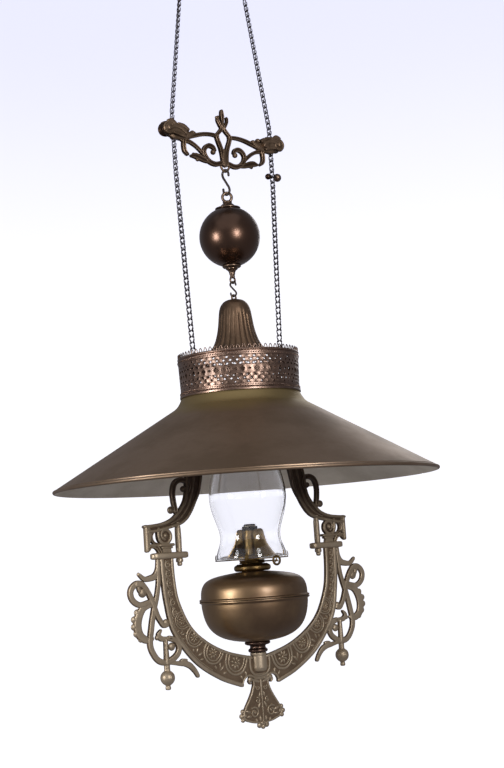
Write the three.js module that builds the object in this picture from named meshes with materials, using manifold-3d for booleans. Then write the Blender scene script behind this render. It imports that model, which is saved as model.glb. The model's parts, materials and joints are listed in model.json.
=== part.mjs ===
// Hanging oil lamp on two chains: a conical metal shade with a pierced crown, a cast harp with
// scrollwork that carries the oil font, burner and glass chimney, and a pulley yoke with a
// counterweight ball and a fluted smoke bell.
// Millimetres, +Z up. The cast work lies in the XZ plane, and -Y is the lamp's front.
// Heights are measured from the plane of the shade's rim. The finished group is lowered, so that
// its origin is the middle of the ceiling plate's upper face.

import * as THREE from 'three';
import { mergeVertices } from 'three/addons/utils/BufferGeometryUtils.js';
import Module from 'manifold-3d';

const wasm = await Module();
wasm.setup();

// Driving dimensions
const ceilingHeight = 574;
const rimRadius = 205;
const neckRadius = 63.2;
const neckHeight = 92.2;
const hangReach = 44;
const yokeHeight = 377;
const wheelReach = 75;
const ballRadius = 33;
const ballDrop = 111.3;
const bellDrop = 69.2;
const armDrop = 124;
const harpHalfWidth = 117;
const harpDrop = 136.6;
const fontRadius = 56.2;

// Clearances, the overrun of a cut and the distance under which points are one
const gap = 0.3;
const runningGap = 0.08;
const overrun = 2;
const weld = 0.0001;

// Number of sides of the round pieces
const smallSides = 8;
const wireSides = 6;
const midSides = 12;
const wideSides = 24;
const shadeSides = 32;

const quarter = Math.PI / 2;
const diagonal = Math.SQRT1_2;

// Seats that several pieces share: the shade's neck rests on a ring that holds the chains' eyes
const neckStand = 5.2;
const shadeWall = 1.2;
const ringClearance = 0.5;
const eyeInset = 4;
const ringTop = neckHeight - neckStand;
const ringOuter = neckRadius - shadeWall - ringClearance;
const eyeReach = ringOuter - eyeInset;

function material(color, roughness, metalness) {
  return new THREE.MeshStandardMaterial({ color, roughness, metalness });
}

const castBrass = material(0x776848, 0.55, 0.85);
const shadeBrass = material(0x6f6048, 0.5, 0.85);
const crownBrass = material(0x9a7350, 0.45, 0.9);
const fontBrass = material(0x74603c, 0.35, 0.9);
const bronze = material(0x45322a, 0.35, 0.85);
const steel = material(0x55534f, 0.45, 0.9);
const linen = material(0xd8cfb8, 0.95, 0);
const glass = material(0xeef2f6, 0.05, 0);
glass.transparent = true;
glass.opacity = 0.3;

// Closed meshes, joins and cuts

function volumeOf(positions, triangles) {
  const a = new THREE.Vector3();
  const b = new THREE.Vector3();
  const c = new THREE.Vector3();
  let sum = 0;
  for (let i = 0; i < triangles.length; i += 3) {
    a.fromArray(positions, triangles[i] * 3);
    b.fromArray(positions, triangles[i + 1] * 3);
    c.fromArray(positions, triangles[i + 2] * 3);
    sum += a.dot(b.cross(c));
  }
  return sum;
}

function closed(source) {
  const bare = source.clone();
  bare.deleteAttribute('normal');
  bare.deleteAttribute('uv');
  const merged = mergeVertices(bare, weld);
  const kept = [];
  const index = merged.index.array;
  for (let i = 0; i < index.length; i += 3) {
    const [a, b, c] = [index[i], index[i + 1], index[i + 2]];
    if (a !== b && b !== c && c !== a) kept.push(a, b, c);
  }
  const positions = merged.attributes.position.array;
  if (volumeOf(positions, kept) < 0) kept.reverse();
  const result = new THREE.BufferGeometry();
  result.setAttribute('position', new THREE.BufferAttribute(new Float32Array(positions), 3));
  result.setIndex(kept);
  result.computeVertexNormals();
  return result;
}

function solidOf(geometry) {
  const shape = closed(geometry);
  return new wasm.Manifold(new wasm.Mesh({
    numProp: 3,
    vertProperties: new Float32Array(shape.attributes.position.array),
    triVerts: new Uint32Array(shape.index.array),
  }));
}

function geometryOf(solid) {
  const mesh = solid.getMesh();
  const result = new THREE.BufferGeometry();
  result.setAttribute('position', new THREE.BufferAttribute(new Float32Array(mesh.vertProperties), 3));
  result.setIndex(Array.from(mesh.triVerts));
  result.computeVertexNormals();
  return result;
}

function join(...pieces) {
  let solid = solidOf(pieces[0]);
  for (const piece of pieces.slice(1)) solid = solid.add(solidOf(piece));
  return geometryOf(solid);
}

function cut(body, ...tools) {
  let solid = solidOf(body);
  for (const tool of tools) solid = solid.subtract(solidOf(tool));
  return geometryOf(solid);
}

function mirrored(geometry) {
  return closed(geometry.clone().scale(-1, 1, 1));
}

// Shapes

// A piece turned on the lamp's axis, from [radius, height] points.
function turned(profile, sides) {
  const points = profile.map(([radius, height]) => new THREE.Vector2(radius, height));
  return closed(new THREE.LatheGeometry(points, sides).rotateX(quarter));
}

function cylinder(radius, low, high, sides) {
  return turned([[0, low], [radius, low], [radius, high], [0, high]], sides);
}

function ball(radius, sides) {
  const points = [];
  const rings = Math.ceil(sides / 2);
  for (let i = 0; i <= rings; i += 1) {
    const angle = -quarter + Math.PI * i / rings;
    points.push([i === 0 || i === rings ? 0 : radius * Math.cos(angle), radius * Math.sin(angle)]);
  }
  return turned(points, sides);
}

// A round wire ring about the Z axis.
function ring(radius, wire, sides) {
  const points = [];
  for (let i = 0; i <= wireSides; i += 1) {
    const angle = 2 * Math.PI * (i % wireSides) / wireSides;
    points.push([radius + wire * Math.cos(angle), wire * Math.sin(angle)]);
  }
  return turned(points, sides);
}

function ringAcross(radius, wire, sides) {
  return ring(radius, wire, sides).rotateX(quarter);
}

function ringAlong(radius, wire, sides) {
  return ring(radius, wire, sides).rotateY(quarter);
}

// A plate in the XZ plane, as thick as stated and centred on Y = 0.
function plate(shape, thickness, curveSegments = 6) {
  const flat = new THREE.ExtrudeGeometry(shape, { depth: thickness, bevelEnabled: false, curveSegments });
  return closed(flat.rotateX(quarter).translate(0, thickness / 2, 0));
}

function outline(points) {
  return new THREE.Shape(points.map(([x, z]) => new THREE.Vector2(x, z)));
}

// A disc in the XZ plane.
function disc(radius, thickness, x, z, sides = smallSides) {
  return cylinder(radius, -thickness / 2, thickness / 2, sides).rotateX(quarter).translate(x, 0, z);
}

function smooth(points, steps) {
  const curve = new THREE.SplineCurve(points.map(([x, z]) => new THREE.Vector2(x, z)));
  return curve.getPoints(steps).map((point) => [point.x, point.y]);
}

// A flat bar that follows a curve in the XZ plane, from its first width to its last.
function bar(points, firstWidth, lastWidth, thickness, steps) {
  const line = smooth(points, steps);
  const left = [];
  const right = [];
  line.forEach(([x, z], i) => {
    const before = line[Math.max(i - 1, 0)];
    const after = line[Math.min(i + 1, line.length - 1)];
    const along = new THREE.Vector2(after[0] - before[0], after[1] - before[1]).normalize();
    const half = (firstWidth + (lastWidth - firstWidth) * i / (line.length - 1)) / 2;
    left.push([x - along.y * half, z + along.x * half]);
    right.unshift([x + along.y * half, z - along.x * half]);
  });
  return plate(outline([...left, ...right]), thickness);
}

// A round wire along a curve, given as [x, y, z] points.
function wirePiece(points, radius, steps) {
  const path = new THREE.CatmullRomCurve3(points.map((point) => new THREE.Vector3(...point)));
  const section = new THREE.Shape();
  for (let i = 0; i < wireSides; i += 1) {
    const angle = 2 * Math.PI * i / wireSides;
    const step = i === 0 ? 'moveTo' : 'lineTo';
    section[step](radius * Math.cos(angle), radius * Math.sin(angle));
  }
  section.closePath();
  return closed(new THREE.ExtrudeGeometry(section, { steps, extrudePath: path, bevelEnabled: false }));
}

// Points given as shares of a width and a drop, from the top of the piece down.
function placed(shares, width, drop, top) {
  return shares.map(([across, down]) => [across * width, top - down * drop]);
}

// Ceiling fitting: a plate with two screw hooks

const plateStep = 8;
const plateThickness = 4;
const plateBossMargin = 12;
const plateBossThickness = 3;
const hookWire = 1.8;
const hookRadius = 6;
const hookSink = 5;
const hookDrop = 6;
const hookOpenShare = 0.3;

const plateBossRadius = hangReach + plateBossMargin;
const plateRadius = plateBossRadius + plateStep;
const plateUnderside = ceilingHeight - plateThickness - plateBossThickness;
const hookHeight = plateUnderside - hookDrop - hookRadius;

function ceilingPlate() {
  const body = turned([
    [0, plateUnderside],
    [plateBossRadius, plateUnderside],
    [plateBossRadius, plateUnderside + plateBossThickness],
    [plateRadius, plateUnderside + plateBossThickness],
    [plateRadius, ceilingHeight],
    [0, ceilingHeight],
  ], wideSides);
  const holes = [-hangReach, hangReach].map((x) => cylinder(hookWire + gap, plateUnderside - overrun,
    plateUnderside + hookSink + gap, smallSides).translate(x, 0, 0));
  return cut(body, ...holes);
}

function ceilingHook() {
  const arc = [];
  const turns = 6;
  for (let i = 0; i <= turns; i += 1) {
    const angle = quarter + (2 * Math.PI * (1 - hookOpenShare)) * i / turns;
    arc.push([hookRadius * Math.cos(angle), 0, hookHeight + hookRadius * Math.sin(angle)]);
  }
  const stem = cylinder(hookWire, hookHeight + hookRadius - hookWire / 2, plateUnderside + hookSink,
    smallSides);
  return join(wirePiece(arc, hookWire, 14), stem).translate(hangReach, 0, 0);
}

// Chains: each strand runs from its ceiling hook through the yoke to the eye of the shade ring

const linkPitch = 6;
const linkRadius = 2.6;
const linkNeckShare = 0.5;
const endRingWire = 1.1;
const topRingRadius = 4;
const lowRingRadius = 3.4;
const straightRise = 23;
const straightFall = 43;
const stopStand = 6;
const stopPin = 0.9;
const grooveRadius = 6.1;
const chainSides = 4;

const eyeWire = 1.3;
const eyeRadius = 4.2;
const eyeStand = 8;

const chainReach = wheelReach - grooveRadius - gap - linkRadius;
const straightTop = yokeHeight + straightRise;
const straightLow = yokeHeight - straightFall;
const stopHeight = straightLow + stopStand;
const eyeHeight = ringTop + eyeStand;
const topRingHeight = hookHeight - hookRadius + hookWire + gap + endRingWire - topRingRadius;
const lowRingHeight = eyeHeight + eyeRadius - eyeWire - gap - endRingWire + lowRingRadius;

function chainRun(fromX, fromZ, toX, toZ) {
  const length = Math.hypot(toX - fromX, toZ - fromZ);
  const links = Math.round(length / linkPitch);
  const points = [[0, 0]];
  for (let i = 0; i <= links; i += 1) {
    points.push([i % 2 === 0 ? linkRadius * linkNeckShare : linkRadius, length * i / links]);
  }
  points.push([0, length]);
  const lean = Math.atan2(toX - fromX, toZ - fromZ);
  return turned(points, chainSides).rotateY(lean).translate(fromX, 0, fromZ);
}

function chain() {
  return join(
    ringAlong(topRingRadius, endRingWire, smallSides).translate(hangReach, 0, topRingHeight),
    chainRun(chainReach, straightTop, hangReach, topRingHeight - topRingRadius),
    chainRun(chainReach, straightLow, chainReach, straightTop),
    chainRun(eyeReach, lowRingHeight + lowRingRadius, chainReach, straightLow),
    ringAcross(lowRingRadius, endRingWire, smallSides).translate(eyeReach, 0, lowRingHeight),
  );
}

function pinnedChain() {
  const hole = cylinder(stopPin + gap, -linkRadius - overrun, linkRadius + overrun, wireSides);
  return cut(chain(), hole.rotateY(quarter).translate(chainReach, 0, stopHeight));
}

// Chain stop: a pin through one link with a ball at each end

const stopSmallBall = 3.4;
const stopLargeBall = 4.6;
const stopSmallReach = 6;
const stopLargeReach = 7;

function chainStop() {
  const pin = cylinder(stopPin, -stopSmallReach, stopLargeReach, wireSides).rotateY(quarter);
  return join(
    pin,
    ball(stopSmallBall, smallSides).translate(-stopSmallReach, 0, 0),
    ball(stopLargeBall, smallSides).translate(stopLargeReach, 0, 0),
  ).translate(chainReach, 0, stopHeight);
}

// Pulley wheels and their axles

const flangeRise = 1.6;
const flangeWidth = 1.2;
const grooveHalf = 3;
const axleRadius = 1.5;
const axleHeadRadius = 3.2;
const axleHeadRise = 1.4;
const axleCrownShare = 0.7;
const cheekThickness = 2.2;

const wheelHalf = grooveHalf + flangeWidth;
const cheekInner = wheelHalf + gap;
const cheekOuter = cheekInner + cheekThickness;

function pulleyWheel() {
  const bore = axleRadius + runningGap;
  const flange = grooveRadius + flangeRise;
  return turned([
    [bore, -wheelHalf],
    [flange, -wheelHalf],
    [flange, -grooveHalf],
    [grooveRadius, -grooveHalf + flangeRise],
    [grooveRadius, grooveHalf - flangeRise],
    [flange, grooveHalf],
    [flange, wheelHalf],
    [bore, wheelHalf],
    [bore, -wheelHalf],
  ], midSides).rotateX(quarter).translate(wheelReach, 0, yokeHeight);
}

function pulleyAxle() {
  const head = cheekOuter + gap;
  const tip = head + axleHeadRise;
  return turned([
    [0, -tip],
    [axleHeadRadius * axleCrownShare, -tip],
    [axleHeadRadius, -head],
    [axleRadius, -head],
    [axleRadius, head],
    [axleHeadRadius, head],
    [axleHeadRadius * axleCrownShare, tip],
    [0, tip],
  ], midSides).rotateX(quarter).translate(wheelReach, 0, yokeHeight);
}

// Pulley yoke: a cast bar with a fleuron, two scrolls and a wheel housing at each end

const yokeThickness = 4;
const yokeBar = 4;
const yokeShoulderBar = 5;
const yokeBallRadius = 3;
const yokeEyeRadius = 3.4;
const yokeEyeWire = 1.3;
const yokeStemBar = 7;
const yokeStemDrop = 33;
const cheekRadius = 9.5;
const cheekBar = 13;
const guideGap = 0.6;
const guideInner = 48;
const guideTop = 6;
const guideLow = 11;
const leafBar = 5;
const leafTip = 2;
const petalHalf = 2.8;

// Points of the cast curves, as shares of the wheel's reach across and down from the yoke's height.
const shoulderShares = [[0, -0.14], [0.1, -0.025], [0.32, 0.01], [0.53, 0.05], [0.66, 0.1]];
const scrollShares = [[0.133, 0.01], [0.083, 0.11], [0.061, 0.22], [0.088, 0.32], [0.175, 0.385],
  [0.283, 0.38], [0.373, 0.313], [0.368, 0.227], [0.304, 0.163], [0.208, 0.153], [0.17, 0.2]];
const yokeBallShare = 0.187;
const yokeBallDropShare = 0.235;
const lowerArmShares = [[0.37, 0.3], [0.44, 0.26], [0.53, 0.2], [0.66, 0.14]];
const tailShares = [[0.28, 0.385], [0.4, 0.4], [0.52, 0.385], [0.627, 0.352]];
const upperLeafShares = [[0.53, 0.04], [0.56, -0.02], [0.6, -0.055]];
const dropLeafShares = [[0.67, 0.12], [0.69, 0.2], [0.7, 0.27], [0.7, 0.33]];
const sidePetalShares = [[0.012, -0.14], [0.06, -0.2], [0.09, -0.24], [0.117, -0.3]];
const midPetalTopShare = 0.407;
const midPetalLowShare = 0.13;
const midPetalWaistShare = 0.28;

const yokeEyeHeight = yokeHeight - yokeStemDrop - yokeEyeRadius + yokeEyeWire;

function yokeSide() {
  const inYoke = (shares) => placed(shares, wheelReach, wheelReach, yokeHeight);
  const guideEdge = chainReach - linkRadius - guideGap;
  const guide = new THREE.BoxGeometry(guideEdge - guideInner, 2 * cheekOuter, guideTop + guideLow)
    .translate((guideEdge + guideInner) / 2, 0, yokeHeight + (guideTop - guideLow) / 2);
  const housing = join(
    disc(cheekRadius, 2 * cheekOuter, wheelReach, yokeHeight, midSides),
    new THREE.BoxGeometry(wheelReach - guideInner, 2 * cheekOuter, cheekBar)
      .translate((wheelReach + guideInner) / 2, 0, yokeHeight),
    guide,
  );
  const wheelSpace = new THREE.BoxGeometry(cheekRadius + wheelReach - guideEdge + overrun, 2 * cheekInner,
    2 * cheekRadius + overrun)
    .translate((cheekRadius + wheelReach + guideEdge + overrun) / 2, 0, yokeHeight);
  const axleHole = disc(axleRadius + gap, 2 * (cheekOuter + overrun), wheelReach, yokeHeight);
  return join(
    cut(housing, wheelSpace, axleHole),
    bar(inYoke(shoulderShares), yokeShoulderBar, yokeShoulderBar, yokeThickness, 5),
    bar(inYoke(scrollShares), yokeBar, yokeBar, yokeThickness, 13),
    disc(yokeBallRadius, yokeThickness + yokeBar / 4, yokeBallShare * wheelReach,
      yokeHeight - yokeBallDropShare * wheelReach),
    bar(inYoke(lowerArmShares), yokeBar, yokeBar, yokeThickness, 3),
    bar(inYoke(tailShares), yokeBar, leafTip, yokeThickness, 4),
    bar(inYoke(upperLeafShares), leafBar, leafTip, yokeThickness, 3),
    bar(inYoke(dropLeafShares), leafBar, leafTip, yokeThickness, 3),
    bar(inYoke(sidePetalShares), yokeBar, leafTip, yokeThickness, 3),
  );
}

function pulleyYoke() {
  const side = yokeSide();
  const petalWaist = yokeHeight + midPetalWaistShare * wheelReach;
  const petal = plate(outline([
    [0, yokeHeight + midPetalLowShare * wheelReach],
    [petalHalf, petalWaist],
    [0, yokeHeight + midPetalTopShare * wheelReach],
    [-petalHalf, petalWaist],
  ]), yokeThickness);
  const stemLow = yokeHeight - yokeStemDrop;
  const stemTop = yokeHeight - yokeBallShare * wheelReach;
  const stem = new THREE.BoxGeometry(yokeStemBar, yokeThickness, stemTop - stemLow)
    .translate(0, 0, (stemTop + stemLow) / 2);
  const eye = ringAcross(yokeEyeRadius, yokeEyeWire, smallSides).translate(0, 0, yokeEyeHeight);
  return join(side, mirrored(side), petal, stem, eye);
}

// Wire S hooks, which lie across the cast work

function sHook(upperSeat, lowerSeat, wire, seatWire) {
  const bend = seatWire + gap + wire;
  return wirePiece([
    [0, -bend, upperSeat - bend / 2],
    [0, -bend * diagonal, upperSeat + bend * diagonal],
    [0, 0, upperSeat + bend],
    [0, bend * diagonal, upperSeat + bend * diagonal],
    [0, bend, upperSeat],
    [0, 0, (upperSeat + lowerSeat) / 2],
    [0, -bend, lowerSeat],
    [0, -bend * diagonal, lowerSeat - bend * diagonal],
    [0, 0, lowerSeat - bend],
    [0, bend * diagonal, lowerSeat - bend * diagonal],
    [0, bend, lowerSeat + bend / 2],
  ], wire, 16);
}

// Counterweight ball with a cap above and a finial below

const ballHookWire = 1.1;
const capRadius = 13;
const capRim = 1.6;
const capRise = 8.5;
const capNeckRadius = 4.5;
const capRingRadius = 5;
const capRingWire = 1.4;
const capCurveShare = 0.7;
const capTipShare = 0.6;
const finialRadius = 10.2;
const finialWaist = 3.4;
const finialTip = 2.2;
const finialLength = 14;
const finialEyeRadius = 3.2;
const finialEyeWire = 1.1;
const finialWaistShare = 0.6;
const finialCurveShare = 0.6;
const finialShoulderShare = 0.28;

const ballHeight = yokeHeight - ballDrop;
const ballTop = ballHeight + Math.sqrt(ballRadius ** 2 - capRadius ** 2);
const ballLow = ballHeight - Math.sqrt(ballRadius ** 2 - finialRadius ** 2);
const capRingHeight = ballTop + gap + capRise + capRingRadius;
const finialEyeHeight = ballLow - gap - finialLength - finialEyeRadius + finialEyeWire;

function counterweightBall() {
  const points = [[0, ballLow]];
  const first = -Math.acos(finialRadius / ballRadius);
  const last = Math.acos(capRadius / ballRadius);
  const rings = 10;
  for (let i = 0; i <= rings; i += 1) {
    const angle = first + (last - first) * i / rings;
    points.push([ballRadius * Math.cos(angle), ballHeight + ballRadius * Math.sin(angle)]);
  }
  points.push([0, ballTop]);
  return turned(points, wideSides);
}

function ballCap() {
  const seat = ballTop + gap;
  return join(
    turned([
      [0, seat],
      [capRadius, seat],
      [capRadius, seat + capRim],
      [(capRadius + capNeckRadius) / 2, seat + capRise * capCurveShare],
      [capNeckRadius, seat + capRise],
      [capNeckRadius * capTipShare, seat + capRise + capRingWire],
      [0, seat + capRise + capRingWire],
    ], midSides),
    ringAcross(capRingRadius, capRingWire, midSides).translate(0, 0, capRingHeight),
  );
}

function ballFinial() {
  const seat = ballLow - gap;
  return join(
    turned([
      [0, seat - finialLength],
      [finialTip, seat - finialLength],
      [finialWaist, seat - finialLength * finialWaistShare],
      [finialRadius * finialCurveShare, seat - finialLength * finialShoulderShare],
      [finialRadius, seat - capRim],
      [finialRadius, seat],
      [0, seat],
    ], midSides),
    ringAcross(finialEyeRadius, finialEyeWire, smallSides).translate(0, 0, finialEyeHeight),
  );
}

// Smoke bell: a fluted sheet bell with an eye on top

const bellHookWire = 0.9;
const bellHeight = 57;
const bellRadius = 31.5;
const bellWall = 1;
const bellEyeRadius = 2.8;
const bellEyeWire = 1;
const bellFlutes = 22;
const fluteShare = 0.035;
const fluteRunShare = 0.33;

const bellShares = [[0.14, 0], [0.5, 0.13], [0.58, 0.34], [0.72, 0.77], [1, 1]];

const bellTop = ballHeight - bellDrop;
const bellEyeHeight = bellTop + bellEyeRadius - bellEyeWire / 2;

function smokeBell() {
  const outer = placed(bellShares, bellRadius, bellHeight, bellTop);
  const inner = placed(bellShares, bellRadius - bellWall, bellHeight - bellWall, bellTop - bellWall);
  inner[inner.length - 1][1] = outer[outer.length - 1][1];
  const shell = turned([[0, bellTop], ...outer, ...inner.reverse(), [0, bellTop - bellWall]], 2 * bellFlutes);
  const position = shell.attributes.position;
  for (let i = 0; i < position.count; i += 1) {
    const x = position.getX(i);
    const y = position.getY(i);
    const angle = Math.atan2(y, x);
    const depth = Math.min((bellTop - position.getZ(i)) / (bellHeight * fluteRunShare), 1);
    const scale = 1 + fluteShare * depth * Math.cos(bellFlutes * angle);
    position.setXYZ(i, x * scale, y * scale, position.getZ(i));
  }
  const eye = ringAcross(bellEyeRadius, bellEyeWire, smallSides).translate(0, 0, bellEyeHeight);
  return join(shell, eye);
}

// Shade ring with its two eye bolts

const ringWidth = 15.5;
const ringThickness = 4;
const boltRadius = 1.8;
const boltCollarRadius = 2.4;
const boltCollar = 1.4;
const boltLength = 13;

const ringInner = ringOuter - ringWidth;

function shadeRing() {
  const body = turned([
    [ringInner, ringTop - ringThickness],
    [ringOuter, ringTop - ringThickness],
    [ringOuter, ringTop],
    [ringInner, ringTop],
    [ringInner, ringTop - ringThickness],
  ], shadeSides);
  const holes = [-eyeReach, eyeReach].map((x) => cylinder(boltRadius + gap, ringTop - ringThickness - overrun,
    ringTop + overrun, smallSides).translate(x, 0, 0));
  return cut(body, ...holes);
}

function chainEye() {
  const seat = ringTop + gap;
  const bolt = turned([
    [0, ringTop - boltLength],
    [boltRadius, ringTop - boltLength],
    [boltRadius, seat],
    [boltCollarRadius, seat],
    [boltCollarRadius, seat + boltCollar],
    [boltRadius, eyeHeight - eyeRadius],
    [0, eyeHeight - eyeRadius + eyeWire / 2],
  ], smallSides);
  const eye = ringAlong(eyeRadius, eyeWire, smallSides).translate(0, 0, eyeHeight);
  return join(bolt, eye).translate(eyeReach, 0, 0);
}

// Shade: a sheet cone with a wired rim and an upright neck that rests on the ring by a lip

const rimBead = 1.9;
const coneStep = 5.3;
const coneStand = 4.8;
const lipWidth = 1.6;

const coneTopRadius = neckRadius + coneStep;
const coneTopHeight = ringTop - coneStand;
const lipHeight = ringTop + gap;

function shade() {
  const points = [];
  const beadSteps = 4;
  for (let i = 0; i <= beadSteps; i += 1) {
    const angle = Math.PI - Math.PI * 1.5 * i / beadSteps;
    points.push([rimRadius - rimBead + rimBead * Math.cos(angle), -rimBead * Math.sin(angle)]);
  }
  points.reverse();
  const insideWall = neckRadius - shadeWall;
  return turned([
    ...points,
    [coneTopRadius - shadeWall / 2, coneTopHeight - shadeWall],
    [insideWall, lipHeight - shadeWall],
    [insideWall, lipHeight],
    [insideWall - lipWidth, lipHeight],
    [insideWall - lipWidth, lipHeight + shadeWall],
    [insideWall, lipHeight + shadeWall],
    [insideWall, neckHeight],
    [neckRadius, neckHeight],
    [neckRadius, lipHeight],
    [coneTopRadius, coneTopHeight],
    points[0],
  ], shadeSides);
}

// Crown gallery: a standing band with rolled edges and a row of small points

const crownRise = 42;
const crownFlare = 1.5;
const crownWall = 1.5;
const crownBead = 1;
const crownCove = 3;
const crownTeeth = 32;
const toothRise = 4.5;

const crownTopRadius = neckRadius + crownFlare;

function crownGallery() {
  const low = neckHeight + gap;
  const top = low + crownRise;
  const band = turned([
    [neckRadius - crownWall, low],
    [neckRadius + crownBead, low],
    [neckRadius, low + crownCove],
    [crownTopRadius, top],
    [crownTopRadius - crownWall, top],
    [neckRadius - crownWall, low],
  ], 2 * crownTeeth);
  const position = band.attributes.position;
  const pitch = Math.PI / crownTeeth;
  for (let i = 0; i < position.count; i += 1) {
    if (position.getZ(i) < top - weld) continue;
    const turn = Math.round(Math.atan2(position.getY(i), position.getX(i)) / pitch);
    if (turn % 2 === 0) position.setZ(i, top + toothRise);
  }
  return closed(band);
}

// Upper arm: from the shade ring down and out to the corner bracket above the harp

const armThickness = 6;
const armFootWidth = 11.2;
const bracketReach = 16.5;
const bracketBar = 5;
const bracketDrop = 26.5;
const bracketStand = 2.2;
const bracketBase = 4;
const bracketThickness = 5;
const voluteRadius = 7.6;
const voluteStep = 2.6;
const voluteDrop = 12.5;
const capitalHalf = 8.8;
const capitalNeckHalf = 6;
const capitalInset = 9;
const capitalRise = 3.4;
const castOverlap = 1;
const armScrollBar = 4.5;
const armCurlRadius = 3.15;
const armScrollBall = 4.2;
const crossBarHeight = 5.6;

const armTop = ringTop - ringThickness - gap;
const armFootOuter = ringOuter - gap;
const armFootInner = armFootOuter - armFootWidth;
const armSpan = harpHalfWidth + bracketReach;
const branchTop = armTop - armDrop;
const bracketLow = branchTop - bracketDrop;
const crossBarTop = bracketLow - bracketStand;
const harpTop = crossBarTop - crossBarHeight - gap;
const capitalReach = harpHalfWidth - capitalInset;
const voluteReach = capitalReach + voluteStep;
const voluteHeight = branchTop - voluteDrop;

const armInnerShares = [[0.382, 0.18], [0.408, 0.42], [0.445, 0.63], [0.473, 0.748], [0.515, 0.83],
  [0.553, 0.9], [0.6, 0.963], [0.655, 1.003], [0.73, 1.027], [0.824, 1.047], [0.906, 1.062], [0.975, 1.065]];
const armOuterShares = [[1, 0.998], [0.9, 0.991], [0.824, 0.979], [0.749, 0.949], [0.693, 0.899],
  [0.637, 0.828], [0.609, 0.748], [0.598, 0.635], [0.554, 0.42], [0.494, 0.18]];
const armScrollShares = [[0.575, 0.7], [0.605, 0.655], [0.655, 0.645], [0.7, 0.67], [0.722, 0.735],
  [0.72, 0.81], [0.712, 0.885]];
const armCurlShare = 0.625;
const armCurlDropShare = 0.715;
const armBallShare = 0.742;
const armBallDropShare = 0.887;

function armPlate() {
  const inner = placed(armInnerShares, armSpan, armDrop, armTop);
  const outer = placed(armOuterShares, armSpan, armDrop, armTop);
  return plate(outline([[armFootInner, armTop], ...inner, ...outer, [armFootOuter, armTop]]), armThickness);
}

function upperArm() {
  const capitalTop = voluteHeight - voluteRadius + castOverlap;
  const capitalLow = crossBarTop + gap;
  const bracket = new THREE.BoxGeometry(bracketBar, bracketThickness, bracketDrop)
    .translate(armSpan - bracketBar / 2, 0, (branchTop + bracketLow) / 2);
  const base = new THREE.BoxGeometry(armSpan - capitalReach, bracketThickness, bracketBase)
    .translate((armSpan + capitalReach) / 2, 0, capitalTop - bracketBase / 2);
  const capital = new THREE.BoxGeometry(2 * capitalHalf, bracketThickness, capitalRise)
    .translate(capitalReach, 0, capitalTop - capitalRise / 2);
  const capitalNeck = new THREE.BoxGeometry(2 * capitalNeckHalf, bracketThickness, capitalTop - capitalLow)
    .translate(capitalReach, 0, (capitalTop + capitalLow) / 2);
  const scroll = placed(armScrollShares, armSpan, armDrop, armTop);
  const boltHole = cylinder(boltRadius + gap, ringTop - boltLength - gap, armTop + overrun, smallSides)
    .translate(eyeReach, 0, 0);
  const body = join(
    armPlate(),
    bracket,
    base,
    capital,
    capitalNeck,
    disc(voluteRadius, bracketThickness, voluteReach, voluteHeight, midSides),
    bar(scroll, armScrollBar, armScrollBar, bracketThickness, 9),
    disc(armCurlRadius, bracketThickness, armCurlShare * armSpan, armTop - armCurlDropShare * armDrop),
    disc(armScrollBall, bracketThickness, armBallShare * armSpan, armTop - armBallDropShare * armDrop),
  );
  return cut(body, boltHole);
}

// Cross bar and drop rod, which tie the arm to the harp

const crossBarHalfWidth = 5.4;
const crossBarMargin = 10.1;
const crossBarReach = 9.9;
const rodInset = 24.4;
const rodRadius = 3.3;
const rodDrop = 4.2;
const rodShoulder = 3.4;
const rodTipRadius = 2.3;
const rodTip = 4.6;
const rodTipShare = 0.6;

const rodReach = harpHalfWidth - rodInset;
const rodTop = branchTop - rodDrop;
const crossBarInner = rodReach - crossBarMargin;
const crossBarOuter = harpHalfWidth + crossBarReach;

function crossBar() {
  const inner = crossBarInner + crossBarHalfWidth;
  const outer = crossBarOuter - crossBarHalfWidth;
  const low = harpTop + gap;
  const body = join(
    new THREE.BoxGeometry(outer - inner, 2 * crossBarHalfWidth, crossBarHeight)
      .translate((outer + inner) / 2, 0, low + crossBarHeight / 2),
    cylinder(crossBarHalfWidth, low, low + crossBarHeight, midSides).translate(inner, 0, 0),
    cylinder(crossBarHalfWidth, low, low + crossBarHeight, midSides).translate(outer, 0, 0),
  );
  const hole = cylinder(rodRadius + gap, low - overrun, low + crossBarHeight + overrun, midSides);
  return cut(body, hole.translate(rodReach, 0, 0));
}

function dropRod() {
  const shoulder = harpTop - rodShoulder;
  return turned([
    [0, shoulder - rodTip],
    [rodTipRadius * rodTipShare, shoulder - rodTip],
    [rodTipRadius, shoulder - rodTip * rodTipShare],
    [rodTipRadius, shoulder],
    [rodRadius, shoulder],
    [rodRadius, rodTop],
    [0, rodTop],
  ], midSides).translate(rodReach, 0, 0);
}

// Harp: the two columns that widen into the crescent under the font

const harpThickness = 5;
const harpSteps = 16;
const socketRadius = 8.6;
const socketDropShare = 0.757;
const socketDepth = 20;
const socketCutRise = 6;
const tongueHalf = 8.8;
const notchReach = 16;
const notchTopShare = 0.916;
const notchLowShare = 0.96;

const harpOuterShares = [[1, 0], [0.995, 0.164], [0.976, 0.324], [0.927, 0.514], [0.812, 0.671],
  [0.654, 0.811], [0.427, 0.93], [0.214, 1]];
const harpInnerShares = [[0.085, 0.78], [0.342, 0.722], [0.556, 0.631], [0.718, 0.507], [0.825, 0.324],
  [0.858, 0.164], [0.865, 0]];
const notchShares = [[0.207, 0.97], [0.192, 0.946], [0.164, 0.927]];

const socketTop = harpTop - socketDropShare * harpDrop;
const notchHeight = harpTop - notchTopShare * harpDrop;
const notchBottom = harpTop - notchLowShare * harpDrop;

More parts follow.
